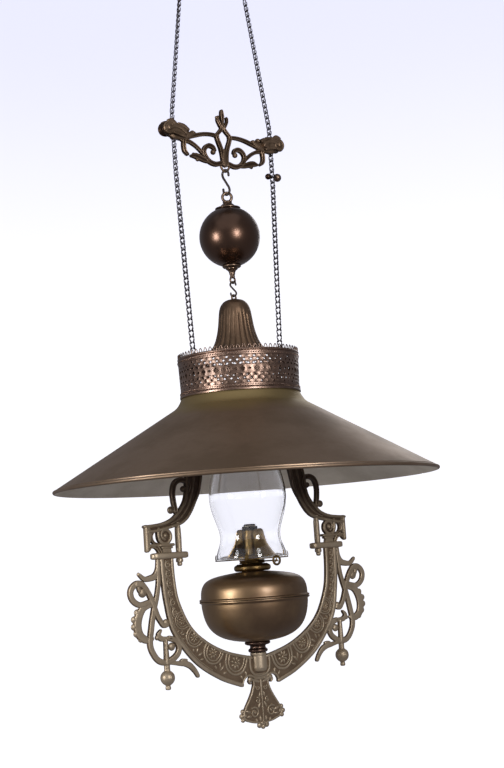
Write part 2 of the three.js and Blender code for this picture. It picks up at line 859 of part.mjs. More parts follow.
function harp() {
  const inHarp = (shares) => placed(shares, harpHalfWidth, harpDrop, harpTop);
  const half = plate(outline([
    ...smooth(inHarp(harpOuterShares), harpSteps),
    ...inHarp(notchShares),
    [notchReach, notchHeight],
    [tongueHalf, notchHeight],
    [tongueHalf, notchBottom],
    [-tongueHalf, notchBottom],
    [-tongueHalf, socketTop],
    ...smooth(inHarp(harpInnerShares), harpSteps),
  ]), harpThickness);
  const bore = cylinder(socketRadius + gap, socketTop - socketDepth - gap, socketTop + socketCutRise,
    midSides);
  return cut(join(half, mirrored(half)), bore);
}

// Font socket: a cup in the middle of the crescent

const stemPinRadius = 5;
const stemPinLength = 16;
const socketRound = 4;

function fontSocket() {
  const bottom = socketTop - socketDepth;
  const bore = stemPinRadius + gap;
  const floor = socketTop - stemPinLength - gap;
  return turned([
    [0, bottom],
    [socketRadius - socketRound, bottom],
    [socketRadius, bottom + socketRound],
    [socketRadius, socketTop],
    [bore, socketTop],
    [bore, floor],
    [0, floor],
  ], midSides);
}

// Palmette pendant under the crescent

const pendantThickness = 4;
const pendantTop = notchBottom - gap;
const pendantHalf = 30.5;
const pendantDrop = 51;
const pendantVolute = 3.9;
const pendantLobe = 2.8;
const pendantFootLobe = 3.2;

const pendantShares = [[0.335, 0], [0.335, 0.05], [0.4, 0.16], [0.47, 0.26], [0.64, 0.45], [0.79, 0.57],
  [0.85, 0.68], [0.8, 0.78], [0.33, 0.85], [0.25, 0.87], [0.2, 0.93]];
const pendantLobeShares = [[0.86, 0.59], [0.91, 0.68], [0.86, 0.765]];
const pendantFootShares = [[0.22, 0.935], [0, 0.937], [-0.22, 0.935]];
const pendantVoluteShare = 0.44;
const pendantVoluteRise = 1.6;

function palmettePendant() {
  const inPendant = (shares) => placed(shares, pendantHalf, pendantDrop, pendantTop);
  const side = inPendant(pendantShares);
  const otherSide = side.map(([x, z]) => [-x, z]).reverse();
  const pieces = [plate(outline([...side, ...otherSide]), pendantThickness)];
  for (const sign of [-1, 1]) {
    for (const [x, z] of inPendant(pendantLobeShares)) {
      pieces.push(disc(pendantLobe, pendantThickness, sign * x, z));
    }
    pieces.push(disc(pendantVolute, pendantThickness, sign * pendantVoluteShare * pendantHalf,
      pendantTop + pendantVoluteRise));
  }
  for (const [x, z] of inPendant(pendantFootShares)) {
    pieces.push(disc(pendantFootLobe, pendantThickness, x, z));
  }
  return join(...pieces);
}

// Side scrolls: the cast ornament outside each column

const scrollThickness = 4;
const scrollBarShare = 0.0376;
const scrollThinShare = 0.0308;
const scrollLeafShare = 0.06;
const scrollCuspShare = 0.0256;
const scrollBallShare = 0.0274;
const scrollLargeBallShare = 0.0359;

const scrollBar = scrollBarShare * harpHalfWidth;
const scrollThinBar = scrollThinShare * harpHalfWidth;
const scrollLeafBar = scrollLeafShare * harpHalfWidth;
const scrollCusp = scrollCuspShare * harpHalfWidth;
const scrollBall = scrollBallShare * harpHalfWidth;
const scrollLargeBall = scrollLargeBallShare * harpHalfWidth;

const stemShares = [[1.021, 0.01], [1.024, 0.1], [1.034, 0.19], [1.055, 0.27], [1.087, 0.35], [1.111, 0.425],
  [1.13, 0.5], [1.146, 0.57], [1.148, 0.62], [1.128, 0.67], [1.08, 0.725], [1.015, 0.748], [0.94, 0.735],
  [0.876, 0.697], [0.857, 0.65], [0.885, 0.6], [0.95, 0.578], [1.02, 0.575]];
const ringShares = [[1.17, 0.19], [1.228, 0.168], [1.285, 0.18], [1.318, 0.235], [1.29, 0.285], [1.23, 0.318],
  [1.14, 0.305], [1.08, 0.29]];
const crossShares = [[1.18, 0.185], [1.125, 0.25], [1.09, 0.33], [1.06, 0.405], [1.015, 0.472],
  [0.985, 0.475]];
const branchShares = [[1.03, 0.07], [1.052, 0.11], [1.11, 0.13], [1.17, 0.138], [1.218, 0.1]];
const cuspedShares = [[1.08, 0.34], [1.175, 0.352], [1.24, 0.405], [1.268, 0.47], [1.248, 0.535],
  [1.18, 0.573], [1.12, 0.56]];
const cuspShares = [[1.262, 0.382], [1.297, 0.428], [1.297, 0.478], [1.272, 0.527], [1.232, 0.562]];
const lowerLeafShares = [[0.95, 0.752], [0.855, 0.768], [0.775, 0.776], [0.72, 0.8], [0.69, 0.835],
  [0.674, 0.873]];
const leafHeadShares = [[1.0, 0.575], [1.045, 0.572], [1.065, 0.535]];
const uprightShares = [[0.99, 0.585], [0.99, 0.75]];
const ringBallShares = [[1.2, 0.232], [0.928, 0.648]];
const crossBallShares = [[0.978, 0.462]];

function sideScroll() {
  const inHarp = (shares) => placed(shares, harpHalfWidth, harpDrop, harpTop);
  const pieces = [
    bar(inHarp(stemShares), scrollThinBar, scrollBar, scrollThickness, 21),
    bar(inHarp(ringShares), scrollBar, scrollBar, scrollThickness, 9),
    bar(inHarp(crossShares), scrollBar, scrollThinBar, scrollThickness, 6),
    bar(inHarp(branchShares), scrollLeafBar, scrollThinBar, scrollThickness, 4),
    bar(inHarp(cuspedShares), scrollThinBar, scrollLeafBar, scrollThickness, 7),
    bar(inHarp(lowerLeafShares), scrollThinBar, scrollThinBar, scrollThickness, 6),
    bar(inHarp(leafHeadShares), scrollBar, scrollBar, scrollThickness, 3),
    bar(inHarp(uprightShares), scrollLeafBar, scrollLeafBar, scrollThickness, 1),
  ];
  for (const [x, z] of inHarp(cuspShares)) pieces.push(disc(scrollCusp, scrollThickness, x, z, wireSides));
  for (const [x, z] of inHarp(ringBallShares)) pieces.push(disc(scrollLargeBall, scrollThickness, x, z));
  for (const [x, z] of inHarp(crossBallShares)) pieces.push(disc(scrollBall, scrollThickness, x, z));
  return cut(join(...pieces), harpClearance());
}

// The space that the harp takes, with its gap, which the scroll stays out of.
function harpClearance() {
  const inHarp = (shares) => placed(shares, harpHalfWidth + gap, harpDrop + gap, harpTop + gap);
  return plate(outline([
    ...smooth(inHarp(harpOuterShares), harpSteps),
    [0, harpTop - harpDrop - overrun],
    [0, harpTop],
  ]), scrollThickness + overrun);
}

// Side finial: a turned drop with a ball and a knob, under each scroll

const finialReachShare = 0.99;
const finialDropShare = 0.7694;
const sideRodRadius = 3.1;
const sideRodLength = 5;
const sideBallRadius = 7.4;
const sideKnobRadius = 2.8;
const sideKnobLength = 4.6;
const knobTipShare = 0.6;
const knobCurveShare = 0.7;

const finialReach = finialReachShare * harpHalfWidth;
const sideFinialTop = harpTop - finialDropShare * harpDrop;

function sideFinial() {
  const ballCentre = sideFinialTop - sideRodLength - sideBallRadius;
  const points = [[0, ballCentre - sideBallRadius - sideKnobLength],
    [sideKnobRadius * knobTipShare, ballCentre - sideBallRadius - sideKnobLength],
    [sideKnobRadius, ballCentre - sideBallRadius - sideKnobLength * knobCurveShare]];
  const rings = 6;
  const first = -Math.acos(sideKnobRadius / sideBallRadius);
  const last = Math.acos(sideRodRadius / sideBallRadius);
  for (let i = 0; i <= rings; i += 1) {
    const angle = first + (last - first) * i / rings;
    points.push([sideBallRadius * Math.cos(angle), ballCentre + sideBallRadius * Math.sin(angle)]);
  }
  points.push([sideRodRadius, sideFinialTop], [0, sideFinialTop]);
  return turned(points, midSides).translate(finialReach, 0, 0);
}

// Font: two shells that meet at a seam, on a turned stem, with a collar on top

const fontWall = 1.2;
const seamFlange = 2;
const seamThickness = 2;
const lowerShellDepth = 44.35;
const upperShellRise = 28.25;
const fontBottomRadius = 14;
const fontMouthRadius = 13.6;
const stemRise = 11.1;

const lowerShellShares = [[0.46, 0.94], [0.7, 0.83], [0.87, 0.63], [0.965, 0.37], [1, 0.07]];
const upperShellShares = [[1, 0.14], [0.97, 0.53], [0.86, 0.76], [0.66, 0.9], [0.36, 0.98]];

const fontBottom = socketTop + gap + stemRise + gap;
const seamHeight = fontBottom + lowerShellDepth;
const fontShoulder = seamHeight + upperShellRise;

function lowerShell() {
  const outer = placed(lowerShellShares, fontRadius, lowerShellDepth, seamHeight);
  const inner = placed(lowerShellShares, fontRadius - fontWall, lowerShellDepth - fontWall, seamHeight)
    .reverse();
  const seam = seamHeight - gap / 2;
  return turned([
    [0, fontBottom],
    [fontBottomRadius, fontBottom],
    ...outer,
    [fontRadius + seamFlange, seam - seamThickness],
    [fontRadius + seamFlange, seam],
    [fontRadius - fontWall, seam],
    ...inner,
    [fontBottomRadius, fontBottom + fontWall],
    [0, fontBottom + fontWall],
  ], wideSides);
}

function upperShell() {
  const outer = placed(upperShellShares, fontRadius, -upperShellRise, seamHeight);
  const inner = placed(upperShellShares, fontRadius - fontWall, fontWall - upperShellRise, seamHeight)
    .reverse();
  const seam = seamHeight + gap / 2;
  return turned([
    [fontRadius - fontWall, seam],
    [fontRadius + seamFlange, seam],
    [fontRadius + seamFlange, seam + seamThickness],
    ...outer,
    [fontMouthRadius, fontShoulder],
    [fontMouthRadius, fontShoulder - fontWall],
    ...inner,
    [fontRadius - fontWall, seam],
  ], wideSides);
}

const stemFlangeRadius = 13.6;
const stemFlange = 3;
const stemWaist = 8.4;
const stemRingRadius = 10.3;
const stemRing = 4;

function fontStem() {
  const top = fontBottom - gap;
  const seat = socketTop + gap;
  return turned([
    [0, socketTop - stemPinLength],
    [stemPinRadius, socketTop - stemPinLength],
    [stemPinRadius, seat],
    [stemRingRadius - stemRing / 4, seat],
    [stemRingRadius, seat + stemRing / 2],
    [stemRingRadius - stemRing / 4, seat + stemRing],
    [stemWaist, seat + stemRing],
    [stemWaist, top - stemFlange],
    [stemFlangeRadius, top - stemFlange / 2],
    [stemFlangeRadius, top],
    [0, top],
  ], midSides);
}

const collarRadius = 19.6;
const collarRise = 7.6;
const collarNeck = 13.6;
const collarBore = 11.5;

const collarTop = fontShoulder + gap + collarRise;

function fontCollar() {
  const low = fontShoulder + gap;
  const middle = (low + collarTop) / 2;
  return turned([
    [collarBore, low],
    [collarRadius - collarRise / 4, low],
    [collarRadius, middle],
    [collarRadius - collarRise / 4, collarTop],
    [collarBore, collarTop],
    [collarBore, low],
  ], wideSides);
}

// Burner: body, plate with prongs, wick tube, flame spreader, wick and knob

const burnerTube = collarBore - gap;
const burnerTubeDrop = 9;
const burnerRise = 3.8;
const burnerPlate = 1.2;
const wickTubeRadius = 8;
const wickTubeWall = 1;
const wickTubeRise = 34;
const knobDrop = 2;
const knobShaft = 0.8;
const knobRadius = 5.5;
const knobThickness = 1.6;
const knobReach = 41;

const burnerTop = collarTop + gap + burnerRise;
const burnerPlateTop = burnerTop + gap + burnerPlate;
const wickTubeLow = collarTop - burnerTubeDrop;
const wickTubeTop = burnerPlateTop + wickTubeRise;
const knobHeight = burnerTop - knobDrop;

function burnerBody() {
  const bore = wickTubeRadius + gap;
  const seat = collarTop + gap;
  const body = turned([
    [bore, wickTubeLow],
    [burnerTube, wickTubeLow],
    [burnerTube, seat],
    [collarNeck, seat],
    [collarNeck, burnerTop],
    [bore, burnerTop],
    [bore, wickTubeLow],
  ], midSides);
  const shaftHole = cylinder(knobShaft + gap, 0, collarNeck + overrun, smallSides)
    .rotateX(quarter).translate(0, 0, knobHeight);
  return cut(body, shaftHole);
}

const burnerPlateMargin = 1.7;
const prongRise = 9;
const prongWidth = 8;
const prongThickness = 0.8;
const prongs = 4;
const chimneyBulge = 41;
const chimneyFootShare = 0.907;

const chimneyFoot = chimneyFootShare * chimneyBulge;
const burnerPlateRadius = chimneyFoot + burnerPlateMargin;

function burnerGallery() {
  const bore = wickTubeRadius + gap;
  const low = burnerTop + gap;
  const pieces = [turned([
    [bore, low],
    [burnerPlateRadius, low],
    [burnerPlateRadius, burnerPlateTop],
    [bore, burnerPlateTop],
    [bore, low],
  ], wideSides)];
  for (let i = 0; i < prongs; i += 1) {
    const prong = new THREE.BoxGeometry(prongThickness, prongWidth, prongRise + burnerPlate)
      .translate(chimneyFoot + gap + prongThickness / 2, 0, low + (prongRise + burnerPlate) / 2);
    pieces.push(prong.rotateZ(quarter * (i + 0.5)));
  }
  return join(...pieces);
}

function wickTube() {
  const inside = wickTubeRadius - wickTubeWall;
  return turned([
    [inside, wickTubeLow],
    [wickTubeRadius, wickTubeLow],
    [wickTubeRadius, wickTubeTop],
    [inside, wickTubeTop],
    [inside, wickTubeLow],
  ], midSides);
}

const spreaderRadius = 24;
const spreaderWall = 1;
const spreaderRise = 31;
const spreaderFoot = 3;
const spreaderWindowShare = 1.3;
const spreaderFootShare = 1.08;

const spreaderShares = [[spreaderFootShare, 0], [0.98, 0.2], [0.92, 0.5], [0.84, 0.8], [0.6, 1]];

// Two curved plates that stand beside the wick tube, on a ring.
function flameSpreader() {
  const low = burnerPlateTop + gap;
  const outer = spreaderShares.map(([r, d]) => [r * spreaderRadius, low + d * spreaderRise]);
  const inner = spreaderShares.map(([r, d]) => [r * spreaderRadius - spreaderWall,
    low + d * spreaderRise]).reverse();
  const shell = turned([...outer, ...inner, outer[0]], wideSides);
  const across = 2 * (spreaderFootShare * spreaderRadius + overrun);
  const window = new THREE.BoxGeometry(across, spreaderRadius * spreaderWindowShare, spreaderRise)
    .translate(0, 0, low + spreaderFoot + spreaderRise / 2);
  return cut(shell, window.rotateZ(quarter / 2));
}

const wickGap = 0.4;
const wickRise = 2.5;
const wickTail = 58;

function wick() {
  const radius = wickTubeRadius - wickTubeWall - wickGap;
  return cylinder(radius, wickTubeLow - wickTail, wickTubeTop + wickRise, midSides);
}

function wickKnob() {
  const shaftStart = wickTubeRadius + gap;
  return turned([
    [0, shaftStart],
    [knobShaft, shaftStart],
    [knobShaft, knobReach],
    [knobRadius, knobReach],
    [knobRadius, knobReach + knobThickness],
    [0, knobReach + knobThickness],
  ], midSides).rotateX(quarter).translate(0, 0, knobHeight);
}

// Glass chimney

const chimneyDraught = 35.7;
const chimneyWall = 1.8;

const chimneyShares = [[chimneyFootShare, 0], [0.89, 0.03], [0.785, 0.105], [0.785, 0.15], [0.93, 0.25],
  [1, 0.355], [0.96, 0.44], [0.72, 0.63], [0.61, 0.78], [0.573, 1]];

// The glass ends below the smoke bell's rim, which leaves the draught its way out.
const chimneyTop = bellTop - bellHeight - chimneyDraught;

function chimney() {
  const low = burnerPlateTop + gap;
  const height = chimneyTop - low;
  const outer = chimneyShares.map(([r, d]) => [r * chimneyBulge, low + d * height]);
  const inner = outer.map(([r, z]) => [r - chimneyWall, z]).reverse();
  return turned([...outer, ...inner, outer[0]], wideSides);
}

// The lamp, piece by piece

const lamp = new THREE.Group();
lamp.name = 'hanging_lamp';

function add(name, geometry, look) {
  const mesh = new THREE.Mesh(geometry, look);
  mesh.name = name;
  lamp.add(mesh);
}

function addPair(name, geometry, look) {
  add(`${name}_left`, mirrored(geometry), look);
  add(`${name}_right`, geometry, look);
}

add('ceiling_plate', ceilingPlate(), castBrass);
addPair('ceiling_hook', ceilingHook(), steel);
add('chain_left', mirrored(chain()), steel);
add('chain_right', pinnedChain(), steel);
add('chain_stop', chainStop(), bronze);
add('pulley_yoke', pulleyYoke(), castBrass);
addPair('pulley_wheel', pulleyWheel(), bronze);
addPair('pulley_axle', pulleyAxle(), castBrass);
add('ball_hook', sHook(yokeEyeHeight - yokeEyeRadius, capRingHeight + capRingRadius, ballHookWire,
  capRingWire), steel);
add('ball_cap', ballCap(), bronze);
add('counterweight_ball', counterweightBall(), bronze);
add('ball_finial', ballFinial(), bronze);
add('bell_hook', sHook(finialEyeHeight - finialEyeRadius, bellEyeHeight + bellEyeRadius, bellHookWire,
  finialEyeWire), steel);
add('smoke_bell', smokeBell(), crownBrass);
add('crown_gallery', crownGallery(), crownBrass);
add('shade', shade(), shadeBrass);
add('shade_ring', shadeRing(), castBrass);
addPair('chain_eye', chainEye(), steel);
addPair('upper_arm', upperArm(), castBrass);
addPair('cross_bar', crossBar(), castBrass);
addPair('drop_rod', dropRod(), castBrass);
add('harp', harp(), castBrass);
addPair('side_scroll', sideScroll(), castBrass);
addPair('side_finial', sideFinial(), castBrass);
add('font_socket', fontSocket(), castBrass);
add('palmette_pendant', palmettePendant(), castBrass);
add('font_lower_shell', lowerShell(), fontBrass);
add('font_upper_shell', upperShell(), fontBrass);
add('font_stem', fontStem(), fontBrass);
add('font_collar', fontCollar(), fontBrass);
add('burner_body', burnerBody(), fontBrass);
add('burner_gallery', burnerGallery(), fontBrass);
add('wick_tube', wickTube(), fontBrass);
add('flame_spreader', flameSpreader(), fontBrass);
add('wick', wick(), linen);
add('wick_knob', wickKnob(), fontBrass);
add('chimney', chimney(), glass);

lamp.position.z = -ceilingHeight;

export default lamp;
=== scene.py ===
# %% [markdown]
# # Hanging oil lamp
# The lamp hangs on two chains from a ceiling plate. A pulley yoke runs on the chains and carries a
# counterweight ball and a fluted smoke bell. Below them are a conical shade with a pierced crown,
# and a cast harp with scrollwork that holds the oil font, the burner and the glass chimney.
# Every shape below is given in millimetres, with heights measured from the plane of the shade's
# rim, because that is how a maker would measure the lamp. One function turns them into metres in
# the frame of the packed model.

# %% Load the frame
import json
import math

import bmesh
import bpy
from mathutils import Matrix, Vector

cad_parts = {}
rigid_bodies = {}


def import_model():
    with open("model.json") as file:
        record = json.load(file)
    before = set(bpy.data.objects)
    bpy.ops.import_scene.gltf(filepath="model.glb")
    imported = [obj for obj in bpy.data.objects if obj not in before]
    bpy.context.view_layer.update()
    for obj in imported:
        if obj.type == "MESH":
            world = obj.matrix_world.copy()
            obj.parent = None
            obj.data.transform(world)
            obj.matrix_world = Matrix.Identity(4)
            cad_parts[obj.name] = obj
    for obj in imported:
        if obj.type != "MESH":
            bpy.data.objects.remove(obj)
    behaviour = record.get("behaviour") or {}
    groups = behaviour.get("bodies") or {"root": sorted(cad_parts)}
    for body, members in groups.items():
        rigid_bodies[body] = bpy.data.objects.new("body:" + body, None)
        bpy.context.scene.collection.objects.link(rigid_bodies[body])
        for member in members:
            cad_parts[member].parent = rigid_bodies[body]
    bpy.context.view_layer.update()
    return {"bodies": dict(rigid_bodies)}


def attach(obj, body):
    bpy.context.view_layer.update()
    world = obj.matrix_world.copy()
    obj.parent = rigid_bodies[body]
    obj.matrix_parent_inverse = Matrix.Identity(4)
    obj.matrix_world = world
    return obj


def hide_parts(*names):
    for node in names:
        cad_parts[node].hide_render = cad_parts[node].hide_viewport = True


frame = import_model()
print("bodies:", ", ".join(frame["bodies"]))

MM = 0.001
CEILING = 574.0
TAU = 2 * math.pi


# %% [markdown]
# ## Camera
# A hanging lamp is seen from a little below and from one side, so the inside of the shade and the
# face of the cast harp both show. A camera can be turned by hand in the viewport, or placed by
# numbers. Numbers are used here: they come from the lamp's own circles, the rim, the crown, the ball
# and the font, and give the same picture on every run. The heading and the pitch turn the view, and
# the roll tips it a little, as a camera held in the hand does.

# %% Camera
CAMERA_PLACE = (-0.9104, -1.1804, -0.6502)
HEADING, PITCH, ROLL = 0.66574, 0.12003, -0.06955
FOCAL_PIXELS, PICTURE_HEIGHT = 1400, 768
FILM = 36
FAR_CLIP = 200


def make_camera():
    forward = Vector((math.sin(HEADING) * math.cos(PITCH), math.cos(HEADING) * math.cos(PITCH),
                      math.sin(PITCH)))
    right = Vector((math.cos(HEADING), -math.sin(HEADING), 0))
    up = right.cross(forward)
    leaning_right = math.cos(ROLL) * right + math.sin(ROLL) * up
    leaning_up = math.cos(ROLL) * up - math.sin(ROLL) * right
    turn = Matrix((leaning_right, leaning_up, -forward)).transposed()
    data = bpy.data.cameras.new("view")
    data.sensor_width = FILM
    data.lens = FOCAL_PIXELS / PICTURE_HEIGHT * data.sensor_width
    data.clip_end = FAR_CLIP
    camera = bpy.data.objects.new("view", data)
    camera.matrix_world = Matrix.Translation(CAMERA_PLACE) @ turn.to_4x4()
    bpy.context.collection.objects.link(camera)
    bpy.context.scene.camera = camera
    return camera


camera = make_camera()
print("lens in millimetres:", round(camera.data.lens, 2))


# %% [markdown]
# ## Shapes
# Most of the lamp is either turned, spun, cast or bent from wire, and a cast piece is a sum of
# simpler ones: bars, leaves, beads and plates. Such a piece could be pushed into shape by hand, or
# joined from Blender's own primitives. Here a Shape only gathers corners and faces in plain lists,
# because lists are quick to join and to mirror, and every number in them can be read and changed.
# Each face also has the number of one of the piece's materials.

# %% Gather corners and faces
class Shape:
    def __init__(self):
        self.points = []
        self.faces = []
        self.looks = []

    def add(self, points, faces, look=0):
        start = len(self.points)
        self.points += [tuple(point) for point in points]
        self.faces += [tuple(start + i for i in face) for face in faces]
        self.looks += [look] * len(faces)

    def join(self, other, matrix=None):
        start = len(self.points)
        self.points += other.moved(matrix) if matrix else other.points
        self.faces += [tuple(start + i for i in face) for face in other.faces]
        self.looks += other.looks
        return self

    def moved(self, matrix):
        return [tuple(matrix @ Vector(point)) for point in self.points]

    def mirrored(self):
        result = Shape()
        result.points = [(-x, y, z) for x, y, z in self.points]
        result.faces = [tuple(reversed(face)) for face in self.faces]
        result.looks = list(self.looks)
        return result

    def mark(self, wanted, look=1):
        """Gives a look to the faces whose corners all pass a test."""
        for i, face in enumerate(self.faces):
            if all(wanted(self.points[corner]) for corner in face):
                self.looks[i] = look
        return self


def skin(rows, size, closed=True):
    """Faces between rows of corners, each row size corners long, with an end face on each end."""
    faces = [tuple(range(size))] if closed else []
    for i in range(rows - 1):
        for j in range(size):
            k = (j + 1) % size
            faces.append((i * size + j, i * size + k, (i + 1) * size + k, (i + 1) * size + j))
    if closed:
        faces.append(tuple((rows - 1) * size + j for j in reversed(range(size))))
    return faces


def skinned(points, size, look=0):
    shape = Shape()
    shape.add(points, skin(len(points) // size, size), look)
    return shape


print("faces on a bar with six sides and two rows:", len(skin(2, 6)))


# %% [markdown]
# ## From a Shape to a piece
# A maker deburrs and fits each part before it goes on the lamp. The same happens here: the mesh gets
# its faces turned outward and its shading set smooth, with a sharp line only where two faces meet at
# a real edge. That could be done with modifiers that stay live, but a finished mesh exports more
# safely. Then the piece gets its materials and says which body it rides on and which solid it
# stands for.

# %% Make one piece of the lamp
WELD = 2e-6
USUAL_EDGE = 38


def clean(mesh, sharp_angle=USUAL_EDGE, weld=False):
    work = bmesh.new()
    work.from_mesh(mesh)
    if weld:
        bmesh.ops.remove_doubles(work, verts=work.verts, dist=WELD)
    bmesh.ops.recalc_face_normals(work, faces=work.faces)
    work.to_mesh(mesh)
    work.free()
    mesh.shade_smooth()
    mesh.set_sharp_from_angle(angle=math.radians(sharp_angle))


def piece(name, shape, body, nodes, looks, sharp_angle=USUAL_EDGE, weld=False):
    mesh = bpy.data.meshes.new(name)
    points = [(x * MM, y * MM, (z - CEILING) * MM) for x, y, z in shape.points]
    mesh.from_pydata(points, [], shape.faces)
    for look in looks:
        mesh.materials.append(look)
    mesh.polygons.foreach_set("material_index", shape.looks)
    clean(mesh, sharp_angle, weld)
    obj = bpy.data.objects.new(name, mesh)
    bpy.context.collection.objects.link(obj)
    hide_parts(*nodes)
    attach(obj, body)
    print(name, "has", len(mesh.polygons), "faces")
    return obj


def pair(name, shape, body, looks, sharp_angle=USUAL_EDGE, bodies=None):
    """The right piece is made as given, and the left one is its mirror image."""
    left_body, right_body = bodies or (body, body)
    piece(name + "_right_cast", shape, right_body, [name + "_right"], looks, sharp_angle)
    piece(name + "_left_cast", shape.mirrored(), left_body, [name + "_left"], looks, sharp_angle)


# %% [markdown]
# ## Turned and spun pieces
# The ball's cap, the finials, the font's stem and collar are turned on a lathe, and the shade, the
# font and the ball are spun from sheet. Both are an outline swung round an axis. Blender's Screw
# modifier or Spin tool would do it, and here a short function does, because it can close the poles
# without doubled corners and can press flutes into the wall as it goes. The outline is a list of
# radii and heights.

# %% Rounded corners of an outline
def rounded(profile, radius, steps=3):
    result = [profile[0]]
    for before, here, after in zip(profile, profile[1:], profile[2:]):
        a, b, c = Vector(before), Vector(here), Vector(after)
        reach = min(radius, 0.45 * (a - b).length, 0.45 * (c - b).length)
        if reach < 1e-4:
            result.append(here)
            continue
        start = b + (a - b).normalized() * reach
        end = b + (c - b).normalized() * reach
        for i in range(steps + 1):
            t = i / steps
            result.append(tuple((1 - t) ** 2 * start + 2 * t * (1 - t) * b + t ** 2 * end))
    result.append(profile[-1])
    return result


print("a rounded square corner has", len(rounded([(0, 0), (5, 0), (5, 5)], 1)), "points")


# %% [markdown]
# No turned edge is truly sharp, so the corners above are rounded first and catch a thin line of
# light. The outline is then swung round. An outline point on the axis becomes one single corner, and
# flute, where it is given, is a function that presses the wall in and out with the angle.

# %% Swing an outline round the axis
ON_AXIS = 1e-5


def turned(profile, sides=96, look=0, flute=None):
    shape = Shape()
    points = []
    rows = []
    for radius, height in profile:
        if radius < ON_AXIS:
            rows.append([len(points)] * sides)
            points.append((0, 0, height))
            continue
        rows.append(list(range(len(points), len(points) + sides)))
        for i in range(sides):
            angle = TAU * i / sides
            reach = radius * (flute(angle, radius, height) if flute else 1)
            points.append((reach * math.cos(angle), reach * math.sin(angle), height))
    faces = []
    for low, high in zip(rows, rows[1:]):
        for i in range(sides):
            j = (i + 1) % sides
            corners = list(dict.fromkeys((low[i], low[j], high[j], high[i])))
            if len(corners) > 2:
                faces.append(corners)
    shape.add(points, faces, look)
    return shape


print("a turned disc has", len(turned([(0, 0), (5, 0), (5, 1), (0, 1)]).faces), "faces")


# %% [markdown]
# ## Rings
# The hooks hang in small wire rings. Blender's torus would do, but a turned circle keeps them in the
# same lists as everything else. Two matrices lay a turned piece down: across puts its axis along Y,
# square to the cast work, and along puts its axis along X.

# %% Rings and how they lie
QUARTER = math.pi / 2


def ring(radius, wire_radius, sides=64, wire_sides=16):
    loop = []
    for i in range(wire_sides + 1):
        angle = TAU * (i % wire_sides) / wire_sides
        loop.append((radius + wire_radius * math.cos(angle), wire_radius * math.sin(angle)))
    return turned(loop, sides)


def across(x, height, y=0.0):
    return Matrix.Translation((x, y, height)) @ Matrix.Rotation(QUARTER, 4, "X")


def along(x, height):
    return Matrix.Translation((x, 0, height)) @ Matrix.Rotation(QUARTER, 4, "Y")


print("a ring has", len(ring(4, 1).faces), "faces")


# %% [markdown]
# ## Curves through points
# Cast scrollwork is drawn as long even curves. A Bezier curve object would need handles for every
# point. The function below needs only the points, and passes smoothly through each of them, so a
# scroll can be read off a drawing point by point.

# %% Curves through points
EVEN_STEPS = 200


def smooth(points, steps):
    last = len(points) - 1
    line = []
    for i in range(steps + 1):
        at = last * i / steps
        k = min(int(at), last - 1)
        t = at - k
        p = [Vector(points[max(0, min(last, k + step))]) for step in (-1, 0, 1, 2)]
        line.append(0.5 * (2 * p[1] + (p[2] - p[0]) * t + (2 * p[0] - 5 * p[1] + 4 * p[2] - p[3]) * t * t
                           + (3 * p[1] - p[0] - 3 * p[2] + p[3]) * t ** 3))
    return line


def placed(shares, width, drop, top):
    """Points that are given as shares of a width and a drop below a top."""
    return [(share_x * width, top - share_z * drop) for share_x, share_z in shares]


def even(points, count):
    """The smooth curve through points, cut into pieces of one length."""
    line = smooth(points, EVEN_STEPS)
    lengths = [0.0]
    for a, b in zip(line, line[1:]):
        lengths.append(lengths[-1] + (b - a).length)
    result = []
    k = 0
    for i in range(count + 1):
        goal = lengths[-1] * i / count
        while k < len(line) - 2 and lengths[k + 1] < goal:
            k += 1
        span = max(lengths[k + 1] - lengths[k], 1e-9)
        result.append(line[k].lerp(line[k + 1], (goal - lengths[k]) / span))
    return result


def moved_in(line, distance):
    """The line moved sideways by a distance."""
    result = []
    for i, here in enumerate(line):
        tangent = (line[min(i + 1, len(line) - 1)] - line[max(i - 1, 0)]).normalized()
        result.append(here + Vector((-tangent.y, tangent.x)) * distance)
    return result


def nearest(line, spot):
    return min(line, key=lambda p: (p - spot).length)


print("middle of a curve through three points:", tuple(smooth([(0, 0), (5, 5), (10, 0)], 2)[1]))


# %% [markdown]
# ## Bent wire
# The hooks, the S links and the chain are round wire, bent cold. A curve object with a bevel gives
# the same tube. It is made by hand here, so that both ends close with a small dome, as a filed wire
# end does. The tube is carried along without twisting: at each step the last direction is only
# leaned over to stay square to the wire.

# %% Wire
WIRE_DOME = [math.radians(a) for a in (88, 60, 30)]


def wire(points, radius, steps=80, sides=14):
    line = smooth(points, steps)
    stations = []
    normal = (line[1] - line[0]).normalized().orthogonal().normalized()
    for i, here in enumerate(line):
        tangent = (line[min(i + 1, steps)] - line[max(i - 1, 0)]).normalized()
        normal = (normal - tangent * normal.dot(tangent)).normalized()
        stations.append((here, tangent, normal, radius))
    caps = [(math.sin(a), math.cos(a)) for a in WIRE_DOME]
    start, tangent, turn, _ = stations[0]
    first = [(start - tangent * radius * s, tangent, turn, radius * c) for s, c in caps]
    end, tangent, turn, _ = stations[-1]
    last = [(end + tangent * radius * s, tangent, turn, radius * c) for s, c in reversed(caps)]
    corners = []
    for here, tangent, turn, reach in first + stations + last:
        side = tangent.cross(turn)
        for j in range(sides):
            angle = TAU * j / sides
            corners.append(here + reach * (math.cos(angle) * turn + math.sin(angle) * side))
    return skinned(corners, sides)


print("a bent wire has", len(wire([(0, 0, 0), (5, 0, 5), (10, 0, 0)], 1).faces), "faces")
